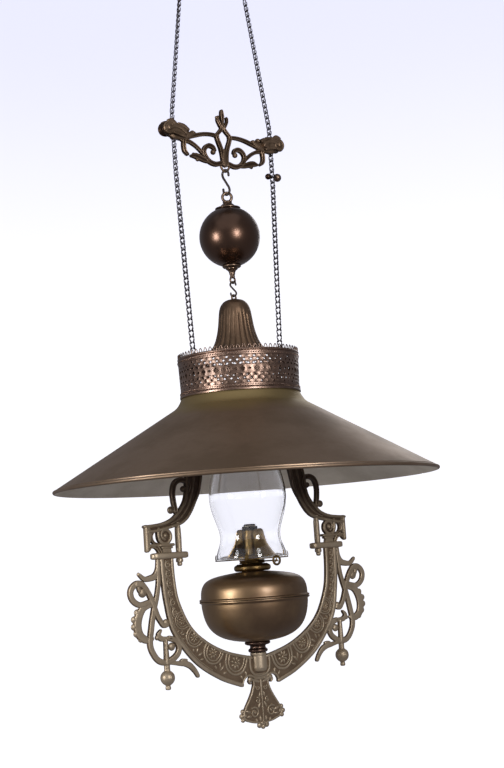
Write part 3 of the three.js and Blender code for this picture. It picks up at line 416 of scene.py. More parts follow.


# %% [markdown]
# ## Cast bars
# The harp's rims, the arms and the scrolls are cast in sand: flat bars with a crowned or grooved
# face, that swell and thin along their length. A curve with a bevel object could carry one section,
# but not change its width and its dark grooves so freely. So a section is a list. From one edge to
# the other it says how far across and how far out each corner is, as shares of half the width and
# half the thickness, and 1 where the strip that starts there is painted dark, as shade in a groove
# or on a bevel.

# %% Sections of cast bars
CROWNED = [(-1, 0.62, 0), (-0.86, 0.84, 0), (-0.5, 0.97, 0), (0, 1, 0), (0.5, 0.97, 0), (0.86, 0.84, 0),
           (1, 0.62, 0)]
GROOVED = [(-1, 0.66, 0), (-0.9, 0.9, 0), (-0.66, 1, 0), (-0.4, 0.92, 1), (-0.16, 0.8, 1), (0.16, 0.8, 1),
           (0.4, 0.92, 0), (0.66, 1, 0), (0.9, 0.9, 0), (1, 0.66, 0)]
RIBBED = [(-1, 0.4, 0), (-0.8, 0.7, 1), (-0.6, 0.72, 0), (-0.35, 0.95, 0), (0, 1, 0), (0.35, 0.95, 0),
          (0.6, 0.72, 1), (0.8, 0.7, 0), (1, 0.4, 0)]
ROUNDED = [(-1, 0.6, 1), (-0.88, 0.86, 0), (-0.6, 1, 0), (-0.2, 0.95, 0), (0.2, 0.95, 0), (0.6, 1, 0),
           (0.88, 0.86, 1), (1, 0.6, 0)]
print("corners in the grooved section:", len(GROOVED))


# %% [markdown]
# A bar lays its section across the curve at every step. Its widths are spread evenly along the
# curve, so four numbers are enough for a leaf that swells and comes to a point. Both ends are
# rounded off in three short steps, as they come out of the mould.

# %% Bars
BAR_DOME = [math.radians(a) for a in (87, 62, 32)]
END_FACE = 0.55


def bar(points, widths, thickness, section=CROWNED, steps=40, shift=0):
    line = smooth(points, steps)
    loop = [(a, out) for a, out, _ in section] + [(a, -out) for a, out, _ in reversed(section)]
    # The marked strips and both side walls of the bar get the second look: painted shade.
    strips = [mark for _, _, mark in section[:-1]]
    marks = strips + [1] + strips[::-1] + [1]
    stations = []
    for i, here in enumerate(line):
        tangent = (line[min(i + 1, steps)] - line[max(i - 1, 0)]).normalized()
        at = (len(widths) - 1) * i / steps
        k = min(int(at), len(widths) - 2)
        half = (widths[k] + (widths[k + 1] - widths[k]) * (at - k)) / 2
        stations.append((here, tangent, half, thickness / 2))

    def dome(end, sign):
        here, tangent, half, depth = end
        for a in BAR_DOME:
            yield (here + tangent * half * sign * math.sin(a), tangent, half * math.cos(a),
                   depth * (END_FACE + (1 - END_FACE) * math.cos(a)))

    stations = list(dome(stations[0], -1)) + stations + list(dome(stations[-1], 1))[::-1]
    shape = Shape()
    for here, tangent, half, depth in stations:
        side = Vector((-tangent.y, tangent.x))
        for share, out in loop:
            spot = here + side * half * share
            shape.points.append((spot.x, -depth * out + shift, spot.y))
    shape.faces = skin(len(stations), len(loop))
    shape.looks = [0] + marks * (len(stations) - 1) + [0]
    return shape


print("a bar has", len(bar([(0, 0), (10, 0)], [2, 4], 2).faces), "faces")


# %% [markdown]
# ## Beads, petals and rosettes
# The casting is dressed with small bosses: beads at the ends of scrolls, and rosettes whose petals
# are beads drawn out one way. They could be sculpted into one surface. Separate bosses that sink
# into the plate behind them look the same and stay clean, because each keeps its own round form.

# %% Beads
def bead(x, z, radius, depth=None, y=0.0, sides=20, look=0):
    """A ball, or a boss that stands out by depth on both faces."""
    depth = radius if depth is None else depth
    profile = []
    rings = sides // 2
    for i in range(rings + 1):
        angle = -QUARTER + math.pi * i / rings
        profile.append((radius * math.cos(angle) if 0 < i < rings else 0, depth * math.sin(angle)))
    return Shape().join(turned(profile, sides, look), across(x, z, y))


print("a bead has", len(bead(0, 0, 1).faces), "faces")


# %% Petals and rosettes
def petal(x, z, angle, length, width, depth):
    """A boss that is longer one way, in the plane of the cast work."""
    matrix = (Matrix.Translation((x, 0, z)) @ Matrix.Rotation(-angle, 4, "Y")
              @ Matrix.Diagonal((length / 2, depth, width / 2, 1)))
    return Shape().join(bead(0, 0, 1, 1, sides=12), matrix)


PETALS = 8
PETAL_REACH = 0.56
PETAL_LENGTH = 0.8
PETAL_FULLNESS = 0.92
HEART = 0.27


def rosette(x, z, radius, depth, turn):
    shape = Shape()
    for i in range(PETALS):
        angle = turn + TAU * i / PETALS
        reach = PETAL_REACH * radius
        shape.join(petal(x + reach * math.cos(angle), z + reach * math.sin(angle), angle,
                         PETAL_LENGTH * radius, PETAL_FULLNESS * TAU * reach / PETALS, depth))
    return shape.join(bead(x, z, HEART * radius, depth * 1.02))


print("a rosette has", len(rosette(0, 0, 5, 2, 0).faces), "faces")


# %% [markdown]
# ## Whorls and plates
# The running scroll and the pendant's whorls are bars that wind inward. A spiral curve could be
# added from Blender's extra curves, but a bar along thirteen points needs nothing more. The ground
# between the rims is a thin plate, made between two edges, so that it follows the crescent exactly
# and keeps a small bevel all round.

# %% Whorls
WHORL_POINTS = 13
WHORL_CLOSE = 0.84


def spiral(x, z, radius, turns, width, thickness, start=0.0, hand=1):
    points = []
    for i in range(WHORL_POINTS):
        t = i / (WHORL_POINTS - 1)
        angle = start + hand * TAU * turns * t
        reach = radius * (1 - WHORL_CLOSE * t)
        points.append((x + reach * math.cos(angle), z + reach * math.sin(angle)))
    return bar(points, [width, width * 0.75], thickness, CROWNED, 36)


print("a whorl has", len(spiral(0, 0, 5, 1.5, 2, 4).faces), "faces")


# %% Plates and blocks
def plate(rows, thickness, look=0, edge=0.6):
    """A flat casting between two edges: rows pair a point of one edge with a point of the other."""
    half = thickness / 2
    corners = []
    for a, b in rows:
        a, b = Vector(a), Vector(b)
        inset = min(edge, 0.3 * (b - a).length)
        step = (b - a).normalized() * inset
        section = ((a, half - inset), (a + step, half), (b - step, half), (b, half - inset),
                   (b, inset - half), (b - step, -half), (a + step, -half), (a, inset - half))
        corners += [(p.x, -out, p.y) for p, out in section]
    return skinned(corners, 8, look)


def block(x0, x1, y0, y1, z0, z1):
    return skinned([(x, y, z) for z in (z0, z1) for x, y in ((x0, y0), (x1, y0), (x1, y1), (x0, y1))], 4)


print("a plate has", len(plate([((0, 0), (5, 0)), ((0, 5), (5, 5))], 2).faces), "faces")


# %% [markdown]
# ## Materials as arithmetic
# Old brass is never one colour: tarnish lies over metal, and bright wear over the tarnish. Such a
# mix could be wired by hand in the shader editor. In a script, many links are hard to read, so a
# small class wraps the output of a node, and a sum or a product of patterns reads as ordinary
# arithmetic. Colours are written as a paint chart gives them and turned into linear light.

# %% Colours and node values
def linear(hex_colour):
    parts = [int(hex_colour[i:i + 2], 16) / 255 for i in (0, 2, 4)]
    return [p / 12.92 if p <= 0.04045 else ((p + 0.055) / 1.055) ** 2.4 for p in parts] + [1.0]


class Value:
    def __init__(self, tree, socket):
        self.tree = tree
        self.socket = socket

    def math(self, operation, other):
        node = self.tree.nodes.new("ShaderNodeMath")
        node.operation = operation
        self.tree.links.new(self.socket, node.inputs[0])
        if isinstance(other, Value):
            self.tree.links.new(other.socket, node.inputs[1])
        else:
            node.inputs[1].default_value = other
        return Value(self.tree, node.outputs[0])

    def __add__(self, other):
        return self.math("ADD", other)

    def __mul__(self, other):
        return self.math("MULTIPLY", other)

    def between(self, low, high, new_low=0.0, new_high=1.0):
        node = self.tree.nodes.new("ShaderNodeMapRange")
        node.interpolation_type = "SMOOTHSTEP"
        for name, value in (("From Min", low), ("From Max", high), ("To Min", new_low), ("To Max", new_high)):
            node.inputs[name].default_value = value
        self.tree.links.new(self.socket, node.inputs["Value"])
        return Value(self.tree, node.outputs["Result"])

    def over(self, below, high):
        """Where this is 1 the colour is high, and where it is 0 it is below."""
        node = self.tree.nodes.new("ShaderNodeMix")
        node.data_type = "RGBA"
        node.inputs["B"].default_value = high
        if isinstance(below, Value):
            self.tree.links.new(below.socket, node.inputs["A"])
        else:
            node.inputs["A"].default_value = below
        self.tree.links.new(self.socket, node.inputs["Factor"])
        return Value(self.tree, node.outputs[2])


print("mid grey in linear light:", round(linear("808080")[0], 3))


# %% [markdown]
# ## A look for each finish
# A Look is one material. Its patterns read the object's own coordinates, so the tarnish stays on the
# metal when a joint moves. Image textures could be painted instead, but these noises need no files
# and have no seams. What isn't changed over the surface is set as a plain number.

# %% Look
class Look:
    def __init__(self, name):
        self.material = bpy.data.materials.new(name)
        self.material.use_nodes = True
        self.tree = self.material.node_tree
        self.shader = self.tree.nodes["Principled BSDF"]
        self.place = self.tree.nodes.new("ShaderNodeTexCoord").outputs["Object"]

    def stretched(self, scale):
        node = self.tree.nodes.new("ShaderNodeMapping")
        node.inputs["Scale"].default_value = scale
        self.tree.links.new(self.place, node.inputs["Vector"])
        return node.outputs["Vector"]

    def noise(self, scale, detail=4.0, roughness=0.55, stretch=(1, 1, 1)):
        node = self.tree.nodes.new("ShaderNodeTexNoise")
        node.inputs["Scale"].default_value = scale
        node.inputs["Detail"].default_value = detail
        node.inputs["Roughness"].default_value = roughness
        self.tree.links.new(self.stretched(stretch), node.inputs["Vector"])
        return Value(self.tree, node.outputs["Fac"])

    def part(self, axis):
        node = self.tree.nodes.new("ShaderNodeSeparateXYZ")
        self.tree.links.new(self.place, node.inputs[0])
        return Value(self.tree, node.outputs[axis])

    def set(self, **values):
        for name, value in values.items():
            self.shader.inputs[name.replace("_", " ")].default_value = value
        return self

    def drive(self, name, value):
        self.tree.links.new(value.socket, self.shader.inputs[name])
        return self

    def bump(self, height, distance, strength=1.0):
        node = self.tree.nodes.new("ShaderNodeBump")
        node.inputs["Distance"].default_value = distance
        node.inputs["Strength"].default_value = strength
        self.tree.links.new(height.socket, node.inputs["Height"])
        self.tree.links.new(node.outputs["Normal"], self.shader.inputs["Normal"])
        return self


print("a look offers:", ", ".join(name for name in vars(Look) if name[0] != "_"))


# %% [markdown]
# ## Aged metal
# On the real lamp the brass has darkened in broad clouds, handling has left small bright specks, and
# the skin of the metal is slightly uneven. It could be one colour with a little roughness, which
# looks like plastic. Two noises give all three: a broad one for the clouds and a fine one for the
# specks, and both feed the roughness and a very shallow bump. The arms also get painted shade, a
# darker colour toward their tops under the lamp's shade, which fades out below a height.

# %% Aged metal
# The colour of the painted shade on the arms, where the lamp's shade throws its shadow.
ARM_SHADE_COLOUR = "3a2a22"
LACQUER_ROUGHNESS = 0.26


def aged(name, colour, tarnish, worn, rough, clouds, specks, grain, metallic=1.0, tarnish_share=0.75,
         speck_share=0.55, lacquer=0.0, shade_and_soot=None):
    look = Look(name)
    broad = look.noise(clouds, 6, 0.6)
    fine = look.noise(specks, 5, 0.65)
    colours = broad.between(0.36, 0.66, 0, tarnish_share).over(linear(colour), linear(tarnish))
    colours = fine.between(0.55, 0.75, 0, speck_share).over(colours, linear(worn))
    # Painted shade: the colour darkens toward the top, between two heights.
    if shade_and_soot:
        colours = (look.part(2) + broad * 0.01).between(*shade_and_soot).over(colours, linear(ARM_SHADE_COLOUR))
    look.drive("Base Color", colours)
    look.drive("Roughness", (broad * 0.5 + fine * 0.5).between(0.3, 0.7, *rough))
    look.set(Metallic=metallic, Coat_Weight=lacquer, Coat_Roughness=LACQUER_ROUGHNESS)
    look.bump(fine + broad * 0.6, grain)
    return look.material


print("soot in linear light:", [round(part, 3) for part in linear(ARM_SHADE_COLOUR)[:3]])


# %% [markdown]
# ## Brass of the casting, the yoke and the chains
# The harp and the scrolls are pale, dry cast brass, and their hollows are painted darker as the
# shade that falls in them, so the casting has two looks, one for its ribs and one for its ground. One
# look with a mask of hollows could do both, but the maker's own division into raised and sunk faces
# is sharper. The arms' two looks are painted a little darker again, as shade under the lamp's shade.
# The yoke is darker and more coppery, with painted shade in its grooves too, and the chains and the
# hooks are blackened steel.

# %% Cast brass and steel
CAST = {"clouds": 30, "specks": 520, "grain": 0.00010, "metallic": 0.68, "rough": (0.38, 0.52)}
HOLLOW_SHADE = {"clouds": 40, "specks": 600, "grain": 0.00012, "metallic": 0.68, "rough": (0.45, 0.6)}
# Heights in metres between which the arms' painted shade grows, and its least and greatest strength.
ARM_SHADE_HEIGHTS = (-0.618, -0.578, 0.0, 0.85)
cast_brass = aged("cast_brass", "bcaa92", "9c8a73", "cebca2", **CAST)
# The arms' looks are the cast brass painted darker, as shade under the lamp's shade.
shaded_arm_brass = aged("shaded_arm_brass", "ae9c84", "917f69", "c1af95", shade_and_soot=ARM_SHADE_HEIGHTS, **CAST)
# The hollow looks are the brass painted darker, as shade in hollows, grooves and along side walls.
cast_hollow_shade = aged("cast_hollow_shade", "8a755f", "6d5a47", "a18d73", **HOLLOW_SHADE)
arm_hollow_shade = aged("arm_hollow_shade", "6c5a47", "513f31", "84725b", shade_and_soot=ARM_SHADE_HEIGHTS, **HOLLOW_SHADE)
yoke_brass = aged("yoke_brass", "937b66", "544333", "93805f", (0.36, 0.55), 40, 500, 0.0001, 0.92)
# The yoke's hollow look is painted shade for its grooves and side walls.
yoke_hollow_shade = aged("yoke_hollow_shade", "4e3c30", "3d2e22", "6c5940", (0.45, 0.65), 40, 500, 0.0001, 0.92)
chain_steel = aged("chain_steel", "5d585c", "454144", "7a757a", (0.35, 0.55), 80, 900, 0.00003)
hook_steel = aged("hook_steel", "544c48", "3a3330", "7c736d", (0.35, 0.5), 80, 900, 0.00003)
print("cast and steel looks:", len(bpy.data.materials))


# %% [markdown]
# ## Spun and turned brass
# The ball, the crown and the font were polished and lacquered. They keep a soft clear coat over a
# brown metal, and the grain is finer than on the casting. A rough metal alone would look dusty, so
# the coat carries the highlight and the metal below it stays dull.

# %% Spun and turned brass
dark_bronze = aged("dark_bronze", "4e3c31", "33261f", "74604d", (0.24, 0.42), 30, 400, 0.00005)
cap_brass = aged("cap_brass", "85705f", "54453c", "a39081", (0.28, 0.45), 40, 400, 0.00004)
ball_bronze = aged("ball_bronze", "604637", "4c372c", "6c5242", (0.28, 0.33), 7, 120, 0.000002,
                   speck_share=0.1, lacquer=0.45)
bell_brass = aged("bell_brass", "876d58", "5a4a3c", "93806a", (0.34, 0.5), 26, 420, 0.00005)
crown_brass = aged("crown_brass", "94796a", "634f44", "b8a392", (0.3, 0.46), 40, 500, 0.00006, lacquer=0.35)
# The crown's dark look is painted shade on the cut edges of its holes.
crown_hole_shade = aged("crown_hole_shade", "54402f", "3a2a20", "6d5642", (0.45, 0.65), 40, 500, 0.00008)
stem_brass = aged("stem_brass", "705a4e", "4c3b34", "8f786a", (0.28, 0.42), 40, 400, 0.00004)
font_brass = aged("font_brass", "9c8060", "765e49", "947a58", (0.38, 0.45), 10, 200, 0.000002,
                  tarnish_share=0.9, speck_share=0.15, lacquer=0.3)
burner_brass = aged("burner_brass", "957b4f", "5d4a30", "b39a68", (0.28, 0.42), 60, 600, 0.00002,
                    speck_share=0.3)
print("looks so far:", len(bpy.data.materials))


# %% [markdown]
# ## Shade metal
# The shade is one large sheet. Its outside has turned a matt brown with softer, lengthened clouds,
# and just under the crown a paler gold ring is a painted highlight, where the curve of the neck catches
# the light. Its inside was painted white to throw the light down. Both sides use one function with
# other colours, because they share their mottling. The painted highlight is laid in by height.

# %% Shade metal
NECK_HIGHLIGHT_BAND = (-0.494, -0.478)
SHADE_WEAR = "a08f72"


def shade_metal(name, colour, neck_highlight, tarnish, rough, metallic):
    look = Look(name)
    broad = look.noise(11, 7, 0.62, (1, 1, 1.6))
    fine = look.noise(260, 5, 0.6)
    height = look.part(2)
    colours = broad.between(0.38, 0.66, 0, 0.8).over(linear(colour), linear(tarnish))
    # Painted highlight: a paler ring where the neck's curve catches the light.
    neck_highlight_mask = (height + broad * 0.03).between(*NECK_HIGHLIGHT_BAND)
    colours = neck_highlight_mask.over(colours, linear(neck_highlight))
    look.drive("Base Color", fine.between(0.6, 0.78, 0, 0.25).over(colours, linear(SHADE_WEAR)))
    look.drive("Roughness", (broad * 0.7 + fine * 0.3).between(0.3, 0.7, *rough))
    look.set(Metallic=metallic)
    look.bump(fine + broad * 2, 0.00003)
    return look.material


shade_outside = shade_metal("shade_outside", "97806b", "97835a", "7d6955", (0.36, 0.48), 0.88)
shade_inside = shade_metal("shade_inside", "f6ebd9", "f6ebd9", "dcd0bc", (0.42, 0.55), 0.25)
print("shade looks:", shade_outside.name, "and", shade_inside.name)


# %% [markdown]
# ## Glass, cotton and char
# The chimney is clear blown glass with slow ripples, so it transmits light and only its edges
# darken. A half transparent surface would be quicker, but it has no bright edge. The wick is loosely
# woven cotton, and its top and the rim of its tube are burnt.

# %% Glass, cotton and char
def clear_glass():
    look = Look("clear_glass")
    ripple = look.noise(34, 2, 0.4, (1, 1, 0.4))
    look.set(Base_Color=(0.965, 0.97, 0.99, 1.0), Roughness=0.015, IOR=1.46, Transmission_Weight=1.0)
    look.bump(ripple, 0.0006, 0.25)
    return look.material


def woven_cotton():
    look = Look("wick_cotton")
    weave = look.noise(900, 2, 0.5, (1, 1, 0.3))
    look.drive("Base Color", weave.over(linear("b9ad94"), linear("e4dcc8")))
    look.set(Roughness=0.9)
    look.bump(weave, 0.0002)
    return look.material


def charred():
    look = Look("wick_char")
    shade_and_soot = look.noise(700, 4, 0.6)
    look.drive("Base Color", shade_and_soot.over(linear("15120f"), linear("3a322a")))
    look.set(Roughness=0.95)
    look.bump(shade_and_soot, 0.0003)
    return look.material


glass = clear_glass()
cotton = woven_cotton()
char = charred()
print("looks made:", len(bpy.data.materials))


# %% [markdown]
# ## Repeats with Geometry Nodes
# Chain links, rope beads and crown points repeat by the dozen. Copies could be made in a loop, or by
# an Array modifier along a curve. Geometry Nodes do it in one step, and the count, the radius and
# the turn stay named inputs. The host object is evaluated once, its result becomes a plain mesh and
# the modifier is removed, because a finished piece has to stand alone.

# %% Run a node group
def node_group(name, inputs):
    group = bpy.data.node_groups.new(name, "GeometryNodeTree")
    group.interface.new_socket("Geometry", in_out="INPUT", socket_type="NodeSocketGeometry")
    for label, kind in inputs:
        group.interface.new_socket(label, in_out="INPUT", socket_type="NodeSocket" + kind)
    group.interface.new_socket("Geometry", in_out="OUTPUT", socket_type="NodeSocketGeometry")
    return group


def run_group(name, group, values):
    """Runs a node group on an empty mesh and returns the finished mesh."""
    host = bpy.data.objects.new(name, bpy.data.meshes.new(name))
    bpy.context.collection.objects.link(host)
    modifier = host.modifiers.new("repeat", "NODES")
    modifier.node_group = group
    for item in group.interface.items_tree:
        if item.in_out == "INPUT" and item.name in values:
            modifier[item.identifier] = values[item.name]
    depsgraph = bpy.context.evaluated_depsgraph_get()
    mesh = bpy.data.meshes.new_from_object(host.evaluated_get(depsgraph), depsgraph=depsgraph)
    host.modifiers.clear()
    bpy.data.objects.remove(host)
    return mesh


def unit_object(name, shape):
    mesh = bpy.data.meshes.new(name)
    mesh.from_pydata([tuple(MM * c for c in point) for point in shape.points], [], shape.faces)
    clean(mesh)
    obj = bpy.data.objects.new(name, mesh)
    bpy.context.collection.objects.link(obj)
    return obj


def shape_of(mesh, height):
    """The finished mesh as a Shape in millimetres, raised by height."""
    shape = Shape()
    shape.add([(v.co.x / MM, v.co.y / MM, v.co.z / MM + height) for v in mesh.vertices],
              [tuple(face.vertices) for face in mesh.polygons])
    bpy.data.meshes.remove(mesh)
    return shape


def finish_group(group, source, instances):
    """Every group ends by making its copies real and giving them their material."""
    nodes, links = group.nodes, group.links
    real = nodes.new("GeometryNodeRealizeInstances")
    links.new(instances, real.inputs[0])
    paint = nodes.new("GeometryNodeSetMaterial")
    links.new(real.outputs[0], paint.inputs["Geometry"])
    links.new(source.outputs["Material"], paint.inputs["Material"])
    result = nodes.new("NodeGroupOutput")
    links.new(paint.outputs[0], result.inputs[0])
    return group


def sums(group):
    """A function that adds a Math node to the group and links or sets its two inputs."""
    def step(operation, a, b):
        node = group.nodes.new("ShaderNodeMath")
        node.operation = operation
        for socket, value in zip(node.inputs, (a, b)):
            if isinstance(value, (int, float)):
                socket.default_value = value
            else:
                group.links.new(value, socket)
        return node.outputs[0]
    return step


print("node groups so far:", len(bpy.data.node_groups))


# %% [markdown]
# ## Units round a circle
# The crown has a rope of slanting grains, a row of dots and a row of arched points. Each is one unit
# set out on the corners of a mesh circle and turned to face outward, by its share of a full turn.

# %% Units round a circle
def ring_group():
    group = node_group("ring_of_units", [("Unit", "Object"), ("Count", "Int"), ("Radius", "Float"),
                                         ("Material", "Material")])
    nodes, links = group.nodes, group.links
    source = nodes.new("NodeGroupInput")
    circle = nodes.new("GeometryNodeMeshCircle")
    links.new(source.outputs["Count"], circle.inputs["Vertices"])
    links.new(source.outputs["Radius"], circle.inputs["Radius"])
    unit = nodes.new("GeometryNodeObjectInfo")
    links.new(source.outputs["Unit"], unit.inputs["Object"])
    step = sums(group)
    index = nodes.new("GeometryNodeInputIndex").outputs[0]
    angle = step("MULTIPLY", step("DIVIDE", index, source.outputs["Count"]), TAU)
    turn = nodes.new("ShaderNodeCombineXYZ")
    links.new(angle, turn.inputs["Z"])
    put = nodes.new("GeometryNodeInstanceOnPoints")
    links.new(circle.outputs["Mesh"], put.inputs["Points"])
    links.new(unit.outputs["Geometry"], put.inputs["Instance"])
    links.new(turn.outputs[0], put.inputs["Rotation"])
    return finish_group(group, source, put.outputs[0])


rings_of = ring_group()


def ring_of(name, unit, count, radius, height, look):
    return shape_of(run_group(name, rings_of, {"Unit": unit, "Count": count, "Radius": radius * MM,
                                               "Material": look}), height)


print("nodes in the ring group:", len(rings_of.nodes))


# %% [markdown]
# ## Links down a path
# A ladder chain hangs with all its links one way up, but a little twist runs down it, so it shows
# its flat side at the bottom and more of its edge at the top. The group below walks down a path,
# points each link along it, and then turns it about the path by an angle that changes with its
# place in the row.

# %% Links down a path
TWIST_CURVE = 0.6


def chain_group():
    group = node_group("links_on_path", [("Path", "Object"), ("Unit", "Object"), ("Count", "Int"),
                                         ("First Turn", "Float"), ("Last Turn", "Float"),
                                         ("Material", "Material")])
    nodes, links = group.nodes, group.links
    source = nodes.new("NodeGroupInput")
    path = nodes.new("GeometryNodeObjectInfo")
    links.new(source.outputs["Path"], path.inputs["Object"])
    spots = nodes.new("GeometryNodeCurveToPoints")
    spots.mode = "COUNT"
    links.new(path.outputs["Geometry"], spots.inputs["Curve"])
    links.new(source.outputs["Count"], spots.inputs["Count"])
    unit = nodes.new("GeometryNodeObjectInfo")
    links.new(source.outputs["Unit"], unit.inputs["Object"])
    step = sums(group)
    index = nodes.new("GeometryNodeInputIndex").outputs[0]
    left_over = step("SUBTRACT", 1.0, step("DIVIDE", index, source.outputs["Count"]))
    spread = step("SUBTRACT", source.outputs["First Turn"], source.outputs["Last Turn"])
    angle = step("ADD", source.outputs["Last Turn"],
                 step("MULTIPLY", spread, step("POWER", left_over, TWIST_CURVE)))
    euler = nodes.new("ShaderNodeCombineXYZ")
    links.new(angle, euler.inputs["Z"])
    turn = nodes.new("FunctionNodeEulerToRotation")
    links.new(euler.outputs[0], turn.inputs[0])
    down = nodes.new("FunctionNodeAlignRotationToVector")
    down.axis = "Z"
    links.new(spots.outputs["Tangent"], down.inputs["Vector"])
    level = nodes.new("FunctionNodeAlignRotationToVector")
    level.axis = "X"
    level.pivot_axis = "Z"
    level.inputs["Vector"].default_value = (1, 0, 0)
    links.new(down.outputs[0], level.inputs["Rotation"])
    rotate = nodes.new("FunctionNodeRotateRotation")
    rotate.rotation_space = "LOCAL"
    links.new(level.outputs[0], rotate.inputs["Rotation"])
    links.new(turn.outputs[0], rotate.inputs["Rotate By"])
    put = nodes.new("GeometryNodeInstanceOnPoints")
    links.new(spots.outputs["Points"], put.inputs["Points"])
    links.new(unit.outputs["Geometry"], put.inputs["Instance"])
    links.new(rotate.outputs[0], put.inputs["Rotation"])
    return finish_group(group, source, put.outputs[0])


links_of = chain_group()
print("nodes in the chain group:", len(links_of.nodes))


# %% [markdown]
# ## Ceiling fitting
# A lamp like this hangs from two screw hooks in the ceiling. The plate stands for the ceiling's own
# fixing, so it is a plain moulded disc that can be fastened to a flat surface. It is turned in one
# go. The hooks are bent wire with a turned flange, and one hook is made and mirrored.

# %% Ceiling plate and hooks
HANG_X = 44
HOOK_TURN = 0.7


def ceiling_fitting():
    profile = [(0, 567), (40, 567), (44, 568.2), (53, 568.2), (56, 570), (62, 570.6), (64, 572), (64, 574),
               (0, 574)]
    shape = turned(rounded(profile, 1.2), 96)
    piece("ceiling_plate_cast", shape, "ceiling", ["ceiling_plate"], [cast_brass])
    arc = []
    for i in range(11):
        angle = QUARTER + TAU * HOOK_TURN * i / 10
        arc.append((HANG_X + 6 * math.cos(angle), 0, 555 + 6 * math.sin(angle)))
    hook = wire([(HANG_X, 0, 571.5), (HANG_X, 0, 566), (HANG_X, 0, 563.2)] + arc[1:], 1.8, 70)
    flange = [(0, 563.5), (3.4, 564), (3.4, 565.6), (2.2, 566.7), (0, 566.7)]
    hook.join(turned(rounded(flange, 0.6), 32), Matrix.Translation((HANG_X, 0, 0)))
    pair("ceiling_hook", hook, "ceiling", [hook_steel])


ceiling_fitting()


# %% [markdown]
# ## Chains
# The lamp hangs on ladder chain: each link is one wire, a cross bar whose two legs lean in and close
# as eyes round the next link's cross bar. The chain could be a textured rope, but its open rungs
# show against the light. So one link is bent from wire, and Geometry Nodes hang copies of it down
# the route: from the hook out to the yoke's pulley, straight through its guide, and in again to the
# eye inside the crown.

# %% One link
LINK_PITCH = 6.2
LINK_WIRE = 0.56


def ladder_link():
    z = LINK_PITCH
    leg = [(0, 0, 0), (1.6, 0, 0), (2.4, 0.15, 0.5), (2.5, 0.45, 2.0), (2.0, 1.0, 4.2), (1.4, 1.2, z - 0.2),
           (1.3, 0.75, z + 0.95), (1.3, 0, z + 1.25), (1.3, -0.85, z + 0.9), (1.4, -1.2, z - 0.1),
           (1.75, -1.1, 4.9), (2.15, -0.85, 3.4)]
    other = [(-x, y, height) for x, y, height in leg[:0:-1]]
    return wire(other + leg, LINK_WIRE, 46, 8)


print("corners in one link:", len(ladder_link().points))


# %% Chains on their route
CHAIN_X = 66
EYE_X = 57.5
CHAIN_ROUTE = [(HANG_X, 543.4), (CHAIN_X, 400), (CHAIN_X, 334), (EYE_X, 104.2)]
TWISTS = {"left": (-1, 104, 36), "right": (1, 98, 34)}


def chains():
    link = unit_object("link_unit", ladder_link())
    for hand, (side, first, last) in TWISTS.items():
        route = bpy.data.curves.new("chain_route", "CURVE")
        route.dimensions = "3D"
        line = route.splines.new("POLY")
        line.points.add(len(CHAIN_ROUTE) - 1)
        length = 0
        for i, (x, z) in enumerate(CHAIN_ROUTE):
            line.points[i].co = (side * x * MM, 0, (z - CEILING) * MM, 1)
            if i:
                length += math.dist(CHAIN_ROUTE[i], CHAIN_ROUTE[i - 1])
        path = bpy.data.objects.new("chain_route", route)
        bpy.context.collection.objects.link(path)
        count = round(length / LINK_PITCH) + 1
        name = "chain_" + hand
        shape = shape_of(run_group(name + "_links", links_of, {
            "Path": path, "Unit": link, "Count": count, "First Turn": math.radians(first),
            "Last Turn": math.radians(last), "Material": chain_steel}), CEILING)
        shape.join(ring(4, 1.1, 32, 10), along(side * HANG_X, 548.2))
        shape.join(ring(3.2, 1.0, 32, 10), across(side * EYE_X, 99.9))
        piece(name + "_links", shape, "lamp", [name], [chain_steel], 60)
        bpy.data.objects.remove(path)
        print(name, "links:", count)
    bpy.data.objects.remove(link)


chains()


# %% [markdown]
# ## Chain stop
# On the right chain a small stop keeps the yoke from running down too far: a pin through the chain
# with a ball on each end. Blender's own spheres would do. The pin and the beads are turned like the
# rest, so that they join into one piece, and the larger ball is given a paler brass than the smaller one.

# %% Chain stop
STOP_HEIGHT = 340


def chain_stop():
    pin = turned(rounded([(0, -9), (0.9, -9), (0.9, 10), (0, 10)], 0.3), 16)
    result = Shape().join(pin, along(CHAIN_X, STOP_HEIGHT))
    result.join(bead(CHAIN_X - 6, STOP_HEIGHT, 3.4, sides=32))
    result.join(bead(CHAIN_X + 7, STOP_HEIGHT, 4.6, sides=32, look=1))
    piece("chain_stop_balls", result, "lamp", ["chain_stop"], [dark_bronze, cap_brass])


chain_stop()


# %% [markdown]
# ## Pulley yoke
# The yoke is one thin casting: two arms that spring from a three-leaved fleuron, an open scroll in
# each half, and a housing for a pulley at each end. It could be cut from a plate along an outline.
# Bars that follow each branch are chosen, because the real ribs are rounded and grooved, and swell
# where they meet. Half of it is built and then mirrored. First come the arm and the stem.

# %% Yoke: arm and stem
YOKE = 377
REACH = 75
THICK = 4.6


def yoke_arm():
    side = Shape()
    side.join(bar([(1.0, 387), (5.2, 382.5), (9.4, 378.3)], [4.4, 4.0, 3.8], THICK, GROOVED, 20))
    side.join(bar([(8.0, 377.6), (16.5, 378.4), (27, 377.4), (38, 374.6), (50, 371.5)],
                  [4.2, 4.0, 4.2, 4.8, 6.4], THICK, GROOVED, 40))
    return side.join(bar([(9.4, 378), (7.4, 372), (4.6, 365), (2.6, 357), (2.0, 347)],
                         [4.6, 4.8, 5.0, 5.4, 5.2], THICK, GROOVED, 40))


print("faces in the yoke's arm:", len(yoke_arm().faces))


# %% [markdown]
# The scroll curls round a ball and closes the diamond opening below the stem. A leaf trails from it,
# and the lower arm runs out to the pulley.

